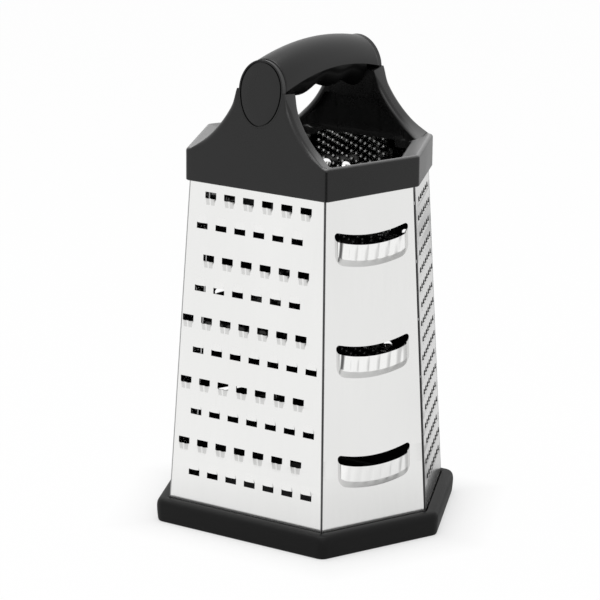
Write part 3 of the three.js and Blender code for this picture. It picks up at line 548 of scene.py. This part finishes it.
def slot_bands(slot, top=17.4, bottom=30.0, pitch=54.6, edge=4.45, shift=0.6):
    """Slicing slots. With p across, the slot's middle line sags as -sag * (1 - (p/half)**2) and its ends are round.
    Below it a hood with a rounded foot rises as height(t) * sqrt(1 - (p/end)**6), where t runs from foot to lip, the
    end lies a little inside the slot's own, and the height grows fast up to the belly and slowly up to the lip. Its
    ribs add ripple * (|sin| - 0.6), which fades in over the foot and out towards the lip. The ribs are painted
    lighter as a highlight, and the foot and ends darker as the shade that they reflect."""
    belly_at, ribs_from, ribs_run, rib_level = 0.29, 0.2, 0.16, 0.6
    lip_from, lip_fade = 0.8, 0.8
    hood_end, rib_end, ribbed_from = 0.35 * slot.opening, 0.4 * slot.opening, 0.28

    def bands_of(sheet):
        levels = row_levels(sheet, top, bottom, pitch)
        half = (sheet.right(levels[0]) - sheet.left(levels[0])) / 2 - edge
        round_end = half - slot.opening / 2 * (1 - np.sin(np.linspace(0, np.pi / 2, 7)))
        steep = half - slot.corner * (1 - np.sin(np.linspace(0, np.pi / 2, 7)))
        ribs = np.linspace(-half, half, 8 * slot.ribs + 1)
        p = np.unique(np.round(np.concatenate([ribs, round_end, -round_end, steep, -steep]), 3))[None]
        t = np.array([1, 1, 0.88, 0.75, 0.6, 0.48, 0.4, 0.34, 0.3, 0.26, 0.2, 0.1, 0.03, 0])[:, None]
        middle = -slot.sag * (1 - (p / half) ** 2)
        past = np.clip((np.abs(p) - half) / (slot.opening / 2) + 1, 0, 1)
        gap = slot.opening * np.sqrt(np.maximum(1 - past ** 2, 0.003))
        past = np.clip((np.abs(p) - half) / slot.corner + 1, 0, 1)
        foot = middle - slot.opening / 2 - slot.drop + slot.corner * (1 - np.sqrt(1 - past ** 2))
        lip = middle - gap / 2
        v = lerp(foot, lip, t)
        v[0] = (middle + gap / 2)[0]
        swell = np.sqrt(np.maximum(1 - np.abs(p / (half - hood_end)) ** 6, 0))
        past_belly = np.clip((t - belly_at) / (1 - belly_at), 0, 1)
        height = slot.belly * np.clip(t / belly_at, 0, 1) + (slot.rise - slot.belly) * past_belly
        rib = np.abs(np.sin(np.pi * slot.ribs * (p / half + 1) / 2))
        fade = smooth((t - ribs_from) / ribs_run) * (1 - lip_fade * smooth((t - lip_from) / (1 - lip_from)))
        n = swell * (height + slot.ripple * (rib - rib_level) * fade)
        n[0] = 0
        gaps = np.zeros((len(t) - 1, p.size - 1), bool)
        gaps[0] = True
        inner = np.abs(p[0, 1:] + p[0, :-1]) / 2 < half - rib_end
        # Ribs painted lighter as a highlight; the hood's foot and ends darker as the shade they reflect
        kinds = np.where((t[1:] > ribbed_from) & inner, RIB_HIGHLIGHT, REFLECTED_SHADE)
        middles = (sheet.left(levels) + sheet.right(levels)) / 2 + shift
        return [band(u + p + np.zeros_like(t), level + v, n, gaps, kinds) for u, level in zip(middles, levels)]

    return bands_of


stamped_panel("ripple_sheet", "ripple_slicer_panel", 0, slot_bands(RIPPLE))
stamped_panel("medium_sheet", "medium_panel", 1, staggered_bands(
    MEDIUM, pitch=6.25, row_pitch=8.7, edge=4.5, margin=10.8, shift=0.8,
))
stamped_panel("shredder_sheet", "shredder_panel", 2, staggered_bands(
    SHREDDER, pitch=11.7, row_pitch=15.3, edge=9.5, margin=10.8, shift=-2.2,
))
stamped_panel("plain_sheet", "plain_slicer_panel", 3, slot_bands(PLAIN))
stamped_panel("rasp_sheet", "rasp_panel", 4, rasp_bands)
stamped_panel("coarse_sheet", "coarse_panel", 5, coarse_bands, COARSE_HEM)


# Foot ring


def softened(profile, rounds=2):
    """Corner cutting on a closed profile: each corner gives way to two points a quarter in from it."""
    for _ in range(rounds):
        after = np.roll(profile, -1, 0)
        profile = np.stack([lerp(profile, after, 0.25), lerp(profile, after, 0.75)], 1).reshape(-1, profile.shape[1])
    return profile


def foot_ring(steps=9):
    """A soft profile of offset and height carried round the body, its corners as wide as its offset."""
    groove = -(2 * SHEET + 2 * FIT)
    inner = groove - RING_WALL
    # Offset and height, from the inner foot round the outside and over the top into the sheets' groove
    profile = softened(np.array([
        [inner, 0], [inner + 1, 0], [3.2, 0], [4.4, 0], [5.0, 0.5], [5.4, 2.2], [6.0, 6.5], [6.1, 8.4], [5.9, 10.2],
        [4.9, 11.5], [3.4, RING_Z], [1.4, RING_Z], [FIT, 11.5], [FIT, 10.8], [FIT, FOOT_Z], [FIT, FOOT_Z - FIT],
        [groove, FOOT_Z - FIT], [groove, 8.0], [groove, 8.5], [inner + 0.5, 8.5], [inner, 8.0], [inner, 1],
    ]))
    rings = [
        np.column_stack([rounded_corners(z, offset, max(offset, FIT), steps).reshape(-1, 2), np.full(SIDES * steps, z)])
        for offset, z in profile
    ]
    ids = np.arange(len(profile) * SIDES * steps).reshape(len(profile), -1)
    faces = grid_quads(np.pad(ids, ((0, 1), (0, 1)), "wrap")).tolist()
    return add_piece("soft_ring", np.concatenate(rings), faces, ["base_ring"], [RUBBER])


foot_ring()


# Collar with its uprights

FACE_X = corners_at(COLLAR_Z, COLLAR_OUT)[2, 0]


def slope(z):
    """Height up the leaning face for a height above the foot."""
    return (z - RIM_Z) / math.cos(LEAN)


def on_upright(y, s, depth):
    """World points at +X for a place across, a place up the leaning face and a depth behind it."""
    y, s, depth = np.broadcast_arrays(y, s, depth)
    x = FACE_X - s * math.sin(LEAN) - depth * math.cos(LEAN)
    z = RIM_Z + s * math.cos(LEAN) - depth * math.sin(LEAN)
    return np.stack([x, y, z], -1)


def flank_outline(foot, steps=26):
    """Points and outward normals up the flank, from the collar's lifted corner to the neck: a hollow arc of the
    flare's radius."""
    neck = np.array([HANDLE_HALF + NECK_MARGIN, slope(PARTING_Z - FIT)])
    foot = np.array([foot, CORNER_LIFT])
    chord = neck - foot
    reach = np.linalg.norm(chord)
    away = np.array([chord[1], -chord[0]]) / reach
    centre = (foot + neck) / 2 + away * math.sqrt(FLARE ** 2 - reach ** 2 / 4)
    start, end = (math.atan2(*(p - centre)[::-1]) % (2 * math.pi) for p in (foot, neck))
    angle = np.linspace(start, end, steps)
    out = -np.stack([np.cos(angle), np.sin(angle)], 1)
    return centre - FLARE * out, out


def upright_columns():
    """Outline of an upright from the -Y foot over the cap's seat to the +Y foot: places, normals, edge radii at the
    front and the back, and which columns lie in the seat."""
    foot = rounded_corners(COLLAR_Z, COLLAR_OUT, COLLAR_CORNER)[3][0][1]
    flank, out = flank_outline(foot)
    flank, out = flank[1:], out[1:]
    count = len(flank)
    near_foot, near_neck = (smooth(step / EDGE_FADE) for step in (np.arange(count), np.arange(count)[::-1]))
    front_edge = lerp(NECK_EDGE, lerp(RIM_EDGE, FLANK_FRONT, near_foot), near_neck)
    back_edge = lerp(NECK_EDGE, lerp(MOUTH_BEAD, FLANK_BACK, near_foot), near_neck)
    angle = np.linspace(0, -np.pi, 33)
    width, drop = HANDLE_HALF + CAP_GAP, (CAP_DROP + CAP_GAP) / math.cos(LEAN)
    seat = np.stack([width * np.cos(angle), slope(PARTING_Z) + drop * np.sin(angle)], 1)
    seat[[0, -1], 1] = slope(PARTING_Z - FIT)
    inward = -unit(np.stack([np.cos(angle) / width, np.sin(angle) / drop], 1))
    right = np.concatenate([flank, [[width + NECK_MARGIN / 2 - CAP_GAP / 2, slope(PARTING_Z - FIT)]]])
    right_out = np.concatenate([out, [[0.0, 1.0]]])
    mirror = np.array([-1.0, 1.0])

    def both(side, middle):
        return np.concatenate([side, np.full(len(seat), middle), side[::-1]])

    return Sizes(
        place=np.concatenate([right * mirror, seat[::-1], right[::-1]]),
        normal=np.concatenate([right_out * mirror, inward[::-1], right_out[::-1]]),
        front=both(np.append(front_edge, NECK_EDGE), SEAT_EDGE),
        back=both(np.append(back_edge, NECK_EDGE), NECK_EDGE),
        seated=both(np.zeros(count + 1), 1) > 0,
    )


def collar():
    """One closed grid: columns run round the body, and rows run from the skirt over the rim or upright into the mouth.
    The rim slopes into the mouth like a funnel. On an upright's columns the rows climb the leaning face, turn over its
    rounded edge and go down its hollow back. Points on the rim and the flanks' feet carry a painted highlight."""
    quarter = np.linspace(0, np.pi / 2, 6)
    mouth = COLLAR_OUT - RIM_WIDTH
    lip = mouth + MOUTH_LIP

    def arcs(offset, z, outline_z=COLLAR_Z, radius=COLLAR_CORNER):
        """Arcs at a ridge and at both ends of a wide side. The rim is wider on the narrow sides, and it rises to the
        ridges and a little to the corners."""
        narrow = COLLAR_OUT - NARROW_RIM * (COLLAR_OUT - offset) if outline_z == COLLAR_Z else None
        corner = rounded_corners(outline_z, offset, radius, narrow=narrow)[1:4]
        share = smooth((z - COLLAR_Z) / (RIM_Z - COLLAR_Z))
        lift = lerp(np.array([SKIRT_LIFT, 0, 0]), np.array([RIDGE_LIFT, CORNER_LIFT, CORNER_LIFT]), share)[:, None]
        return np.dstack([corner, z + lift + 0 * corner[..., 0]])

    edge = COLLAR_OUT - RIM_EDGE
    rows = [(COLLAR_OUT, RIM_Z - RIM_EDGE - HAIR)]
    rows += [(edge + RIM_EDGE * math.cos(a), RIM_Z - RIM_EDGE * (1 - math.sin(a))) for a in quarter]
    inner_z = RIM_Z - FUNNEL
    rows += [(lerp(edge - HAIR, mouth + MOUTH_BEAD + HAIR, t), lerp(RIM_Z, inner_z, t)) for t in np.linspace(0, 1, 13)]
    rows += [(mouth + MOUTH_BEAD * (1 - math.sin(a)), inner_z - MOUTH_BEAD * (1 - math.cos(a))) for a in quarter]
    rows += [(mouth, inner_z - MOUTH_BEAD - HAIR), (mouth, RIM_UNDER - LIP_DROP)]
    rows += [(lip, RIM_UNDER - LIP_DROP), (lip, RIM_UNDER)]
    rim = [arcs(offset, z) for offset, z in rows]
    rim += [arcs(FIT, z, z, FIT) for z in (RIM_UNDER, COLLAR_Z)]
    rim += [arcs(COLLAR_OUT - SKIRT_EDGE, COLLAR_Z), arcs(COLLAR_OUT, COLLAR_Z + SKIRT_EDGE)]
    rim = np.stack(rim)

    column = upright_columns()
    y, s = column.place.T
    top, hollow_top = slope(PARTING_Z - FIT), slope(PARTING_Z - GRIP_DROP - FINGER_WAVE) - HOLLOW_WALL
    deep = CAP_SEAT + HOLLOW_WALL

    def inset(distance):
        """Columns' places moved in from the outline."""
        return (column.place - column.normal * np.asarray(distance)[..., None]).T

    climb = [on_upright(inset(column.front)[0], -RIM_EDGE * (1 - smooth(s / EDGE_FADE)), 0.0)]
    climb.append(on_upright(*inset(column.front + HAIR), 0.0))
    climb += [on_upright(*inset(column.front * (1 - math.sin(a))), column.front * (1 - math.cos(a))) for a in quarter]
    seat_depth = [CAP_SEAT, CAP_SEAT + HAIR, 4.0, 5.0, 6.5, 8.0, UPRIGHT - HAIR, UPRIGHT]
    backs = [(0.0, UPRIGHT - column.back - HAIR)]
    backs += [(column.back * (1 - math.cos(a)), UPRIGHT - column.back * (1 - math.sin(a))) for a in quarter]
    backs.append((column.back + HAIR, UPRIGHT))
    for index, ((inward, depth), sunk) in enumerate(zip(backs, seat_depth)):
        across, level = inset(inward)
        level = np.where(column.seated, s if index == 0 else top, level)
        climb.append(on_upright(np.where(column.seated, y, across), level, np.where(column.seated, sunk, depth)))
    wall_y, wall_s = inset(column.back + HOLLOW_WALL / 2)
    wall_y = np.where(column.seated, y, wall_y)
    wall_s = np.where(column.seated, hollow_top, np.minimum(wall_s, hollow_top))
    hollow = np.where(column.seated, 1.0, smooth((wall_s - HOLLOW_FOOT - 1) / 4))
    wall_s = np.where(hollow > 0, wall_s, np.clip(np.minimum(wall_s, s - column.back), 0.1, None))
    sink = lerp(UPRIGHT, deep, hollow)
    sill = np.minimum(HOLLOW_FOOT, wall_s * 0.7)
    climb += [on_upright(wall_y, wall_s, UPRIGHT), on_upright(wall_y, wall_s, sink)]
    climb += [on_upright(wall_y, sill, sink), on_upright(wall_y, 0.02, sink)]
    share = inset(column.front)[0] / rim[0, 2, 0, 1]
    ledge = len(rows) - 4
    nearer = {ledge: deep, ledge + 1: deep, ledge + 2: deep - 0.6, ledge + 3: deep - 1.2}

    def straight(row):
        """A row along the wide side; where the upright is hollow, the mouth's edge lies farther out."""
        x, across, z = rim[row, 2, 0]
        if row not in nearer:
            return np.stack([np.full_like(y, x), share * across, np.full_like(y, z)], -1)
        level = lerp(z, RIM_Z - MOUTH_BEAD if row == ledge else RIM_UNDER, hollow)
        return np.stack([lerp(x, FACE_X - nearer[row], hollow), share * across, level + 0 * y], -1)

    sunk = FUNNEL * (1 - smooth(s / FUNNEL_FADE))
    for row in climb:
        row[:, 2] -= sunk * np.clip((FACE_X - row[:, 0]) / UPRIGHT, 0, 1)
    below = straight(ledge)
    climb += [lerp(climb[-1], below, step) for step in np.linspace(0, 1, ledge - len(climb) + 2)[1:]]
    climb += [straight(row) for row in range(ledge + 1, len(rim))]
    upright = np.stack(climb)

    half = np.concatenate([rim[:, 0], rim[:, 1], upright, rim[:, 2]], 1)
    loop = np.concatenate([half, half * [-1, -1, 1]], 1)
    ids = np.pad(np.arange(loop.size // 3).reshape(loop.shape[:2]), ((0, 1), (0, 1)), "wrap")
    points = loop.reshape(-1, 3)
    piece = add_piece("moulded_collar", points, grid_quads(ids).tolist(), ["top_collar"], [PLASTIC])
    number = np.arange(len(loop))[:, None]
    on_rim = np.interp(number, RIM_HIGHLIGHT, [0, 1, 1, 0]) + np.zeros(rim.shape[2])
    on_flank = np.interp(number, FLANK_HIGHLIGHT, [0, 1, 1, 0]) * (1 - smooth(s / HIGHLIGHT_FADE))
    rubbed = np.tile(np.concatenate([on_rim, on_rim, on_flank, on_rim], 1), 2)
    piece.data.attributes.new("rubbed", "FLOAT", "POINT").data.foreach_set("value", rubbed.ravel())
    return piece


collar()


# Handle


def leaning_x(z, depth):
    """Distance from the middle of a plane behind the leaning face."""
    return FACE_X - math.tan(LEAN) * (z - RIM_Z) - depth / math.cos(LEAN)


HANDLE_REACH = leaning_x(PARTING_Z, CAP_SEAT)


def handle_heights(share):
    """Parting line and crown over it, as the handle arches between its ends."""
    bow = 1 - share ** 2
    return PARTING_Z + ARCH * bow, lerp(SHELL_END, SHELL_MID, bow)


def lofted_bar(name, node, sections, finish=PLASTIC):
    """A closed bar through equal sections, with both ends filled."""
    ids = np.arange(sections.size // 3).reshape(sections.shape[:2])
    quads = grid_quads(np.pad(ids, ((0, 0), (0, 1)), "wrap")).tolist()
    faces = [*quads, ids[0][::-1].tolist(), ids[-1].tolist()]
    return add_piece(name, sections.reshape(-1, 3), faces, [node], [finish], crease=BAR_CREASE)


def arched_shell():
    """Half an oval (w cos a, parting + crown sin a) with a wall, carried along the arch, its end edges just broken."""
    edge = np.array([[1.0, 0.0, 0.03], [1.0, 0.03, 0.0]])
    inner = np.column_stack([np.linspace(-0.97, 0.97, 37), np.zeros(37), np.zeros(37)])
    stations = np.concatenate([edge * [-1, 1, 1], inner, edge[::-1]])
    share, depth, inset = stations.T[:, :, None]
    parting, crown = handle_heights(share)
    angle = np.linspace(0, np.pi, 41)[None]
    wide, low = HANDLE_HALF - SHELL_WALL, crown - SHELL_WALL
    y = np.concatenate([(HANDLE_HALF - inset) * np.cos(angle), wide * np.cos(angle[:, ::-1]) + 0 * share], 1)
    z = np.concatenate([parting + (crown - inset) * np.sin(angle), parting + low * np.sin(angle[:, ::-1])], 1)
    x = share * leaning_x(z, CAP + CAP_GAP + depth)
    return lofted_bar("arched_shell", "grip_shell", np.stack([x, y, z], -1), SHELL)


def wave_grip():
    """An oval core in the shell. Below the parting line an upright band, whose depth swings as cos(2 pi x / pitch),
    steps in to an oval underside with the finger waves."""
    step_at, step_run, step_in, swing = 0.1, 0.16, 0.14, 0.7
    share = np.linspace(-1, 1, 81)[:, None]
    along = share * leaning_x(PARTING_Z, UPRIGHT + FIT)
    parting, crown = handle_heights(along / HANDLE_REACH)
    wave = np.cos(2 * np.pi * along / FINGER_PITCH)
    angle = np.linspace(0, 2 * np.pi, 49)[None, :-1]
    rise, fall = np.maximum(np.sin(angle), 0), np.maximum(-np.sin(angle), 0)
    core = HANDLE_HALF - SHELL_WALL - FIT
    strip = (BAND - swing * FINGER_WAVE * wave) * smooth(fall / step_at)
    y = core * np.cos(angle) * (1 - step_in * smooth((fall - step_at) / step_run)) + 0 * share
    under = (GRIP_DROP - FINGER_WAVE * wave - strip) * np.maximum(fall - step_at, 0) / (1 - step_at)
    z = parting + (crown - SHELL_WALL - FIT) * rise - strip - under
    x = share * leaning_x(z, UPRIGHT + FIT)
    return lofted_bar("wave_grip", "finger_grip", np.stack([x, y, z], -1), SHADED_GRIP)


def oval_cap(name, node, turn):
    """An oval disc on the leaning face: rings of the end outline, from the middle over a groove to the crisp
    outer edge and the back."""
    # Inset from the outline and depth behind the face
    rings = np.array([
        [7.0, 0.0], [1.75, 0.0], [1.5, 0.06], [1.42, 0.25], [1.42, 0.9], [0.82, 0.9], [0.82, 0.22], [0.74, 0.05],
        [0.55, 0.0], [0.05, 0.0], [0.0, 0.05], [0.0, CAP], [9.0, CAP],
    ])
    inset, depth = rings[:, 0, None], rings[:, 1, None]
    angle = np.linspace(0, 2 * np.pi, 97)[None, :-1]
    rise = np.where(np.sin(angle) > 0, SHELL_END, CAP_DROP) / math.cos(LEAN)
    y = (HANDLE_HALF - inset) * np.cos(angle)
    s = slope(PARTING_Z) + (rise - inset) * np.sin(angle)
    points = on_upright(y, s, depth) * [turn, turn, 1]
    ids = np.arange(points.size // 3).reshape(points.shape[:2])
    quads = grid_quads(np.pad(ids, ((0, 0), (0, 1)), "wrap")).tolist()
    faces = [*quads, ids[0].tolist(), ids[-1][::-1].tolist()]
    return add_piece(name, points.reshape(-1, 3), faces, [node], [PLASTIC])


arched_shell()
wave_grip()
oval_cap("oval_cap_left", "end_cap_left", -1)
oval_cap("oval_cap_right", "end_cap_right", 1)
for side in ("left", "right"):
    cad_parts[f"handle_screw_{side}"].material_slots[0].material = SCREW


# Stage, light and camera

# Zones of painted shade on the floor, seen only in reflections: direction, its cosine where the zone starts and
# where it is full, depth, and nearest and farthest distance in metres
DARK_ZONES = [
    ((-0.8388, -0.5443, 0.0), 0.82, 0.97, 0.9, 0.2, 6.0),
    ((1.0, 0.0, 0.0), 0.62, 0.92, 0.27, 0.0, 0.75),
    ((0.643, -0.766, 0.0), 0.85, 0.97, 0.35, 0.0, 0.45),
    ((0.15, -0.99, 0.0), 0.75, 0.95, 0.07, 0.0, 6.0),
    ((1.0, 0.0, 0.0), 0.62, 0.92, 0.25, 0.55, 6.0),
]
ZONE_RATE = 12
# Painted shade near the foot in reflections: where it starts, its depth and the distance over which it fades
FOOT_FROM, FOOT_SHADE, FOOT_FADE = 0.97, 0.2, 1.8
OVAL_SCALE = (15.7, 13.2, 1.0)

# Round the foot, in shares of its outline: where the floor gets clear of it, and where the contact shadow ends
CLEAR_FROM, CLEAR_RATE = 1.0, 14
BESIDE_FROM, BESIDE_RATE, BESIDE_DEPTH = 1.08, 2.4, 0.4
# UNLIT is near black painted as shade under the foot; LIT is the floor's own pale grey
FLOOR_REACH, FLOOR_WHITE, UNLIT, LIT = 8, 0.975, (0.05, 0.05, 0.05, 1), (0.88, 0.88, 0.88, 1)


def seen(tree):
    """1 where a surface is seen directly, in a reflection or through a clear piece."""
    rays = [tree.node("ShaderNodeLightPath", pick=pick) for pick in (CAMERA_RAY, GLOSSY_RAY, TRANSMISSION_RAY)]
    return (rays[0] + rays[1] + rays[2]).clamped()


def mirrored_white(tree, place, away):
    """White of the floor, with painted shade in reflections near the foot and in some zones round it."""
    side = tree.node("ShaderNodeVectorMath", {"operation": "NORMALIZE"}, {0: place})
    distance = tree.node("ShaderNodeVectorMath", {"operation": "LENGTH"}, {0: place}, pick=1)
    dim = (1 - ((away - FOOT_FROM) * (1 / FOOT_FADE)).clamped()) * FOOT_SHADE
    for direction, start, full, depth, nearest, farthest in DARK_ZONES:
        facing = tree.node("ShaderNodeVectorMath", {"operation": "DOT_PRODUCT"}, {0: side, 1: direction}, pick=1)
        zone = ((distance - nearest) * ZONE_RATE).clamped() * ((farthest - distance) * ZONE_RATE).clamped()
        dim = dim + ((facing - start) * (1 / (full - start))).clamped() * zone * depth
    dim = dim * tree.node("ShaderNodeLightPath", pick=GLOSSY_RAY)
    return dim.clamped().mixed((1, 1, 1, 1), (0, 0, 0, 1))


def pale_floor():
    """A pale floor that shows white with a soft shadow. Under the foot's hexagon it is painted near black as shade,
    beside it the contact shadow shows more, and in reflections it has painted shade by an oval about the foot."""
    mesh = bpy.data.meshes.new("floor")
    corners = [(x * FLOOR_REACH, y * FLOOR_REACH, 0) for x, y in ((-1, -1), (1, -1), (1, 1), (-1, 1))]
    mesh.from_pydata(corners, [], [(0, 1, 2, 3)])
    floor = bpy.data.objects.new("floor", mesh)
    bpy.context.scene.collection.objects.link(floor)
    material = bpy.data.materials.new("pale_floor")
    tree = new_tree(material)
    place = object_place(tree)
    x, y = (tree.node("ShaderNodeSeparateXYZ", sockets={"Vector": place}, pick=pick) for pick in (0, 1))
    x, y = tree.math("ABSOLUTE", x), tree.math("ABSOLUTE", y)
    ridge = (HALF_WIDTH_FOOT + GABLE * FACE_X_FOOT) * MM
    away = tree.math("MAXIMUM", x * (1 / (FACE_X_FOOT * MM)), (x * GABLE + y) * (1 / ridge))
    clear = ((away - CLEAR_FROM) * CLEAR_RATE).clamped()
    beside = 1 - ((away - BESIDE_FROM) * BESIDE_RATE).clamped()
    diffuse = tree.node("ShaderNodeBsdfDiffuse", sockets={"Color": clear.mixed(UNLIT, LIT)})
    scaled = tree.node("ShaderNodeMapping", sockets={"Vector": place, "Scale": OVAL_SCALE})
    oval_away = tree.node("ShaderNodeVectorMath", {"operation": "LENGTH"}, {0: scaled}, pick=1)
    colour = mirrored_white(tree, place, oval_away)
    white = tree.node("ShaderNodeEmission", sockets={"Color": colour, "Strength": 1.0})
    share = seen(tree) * clear * (FLOOR_WHITE - beside * BESIDE_DEPTH)
    mixed = tree.node("ShaderNodeMixShader", sockets={0: share, 1: diffuse, 2: white})
    tree.node("ShaderNodeOutputMaterial", sockets={"Surface": mixed})
    mesh.materials.append(material)


def studio_world(ambient):
    """An even studio: white where it is seen or mirrored, and a plain level of light otherwise."""
    world = bpy.data.worlds.new("studio")
    bpy.context.scene.world = world
    tree = new_tree(world)
    dim = tree.node("ShaderNodeBackground", sockets={"Color": (1, 1, 1, 1), "Strength": ambient})
    white = tree.node("ShaderNodeBackground", sockets={"Color": (1, 1, 1, 1), "Strength": 1.0})
    mixed = tree.node("ShaderNodeMixShader", sockets={0: seen(tree), 1: dim, 2: white})
    tree.node("ShaderNodeOutputWorld", sockets={"Surface": mixed})


def soft_lamp(name, place, aim, size, power):
    """A square area lamp that faces a point."""
    light = bpy.data.lights.new(name, "AREA")
    light.size, light.energy = size, power
    lamp = bpy.data.objects.new(name, light)
    lamp.location = place
    lamp.rotation_euler = (Vector(aim) - Vector(place)).to_track_quat("-Z", "Y").to_euler()
    bpy.context.scene.collection.objects.link(lamp)


def camera(eye, aim, lens, shift, roll):
    """The photograph's view."""
    data = bpy.data.cameras.new("camera")
    data.lens, data.sensor_width, data.shift_x = lens, 36.0, shift
    data.clip_start, data.clip_end = 0.01, 50.0
    view = bpy.data.objects.new("camera", data)
    facing = (Vector(aim) - Vector(eye)).to_track_quat("-Z", "Y").to_matrix()
    turn = facing @ Matrix.Rotation(math.radians(roll), 3, "Z")
    view.location, view.rotation_euler = eye, turn.to_euler()
    bpy.context.scene.collection.objects.link(view)
    bpy.context.scene.camera = view


pale_floor()
studio_world(ambient=0.25)
soft_lamp("top_lamp", place=(-0.1, 0.1, 1.5), aim=(0, 0, 0.1), size=1.3, power=18.0)
soft_lamp("front_lamp", place=(-1.4, -1.2, 1.0), aim=(0, 0, 0.1), size=1.0, power=6.0)
camera(eye=(-1.16474, -0.75581, 0.49729), aim=(0, 0, 0.10805), lens=174.3, shift=-0.0155, roll=0.62)
bpy.context.scene.view_settings.view_transform = "Standard"
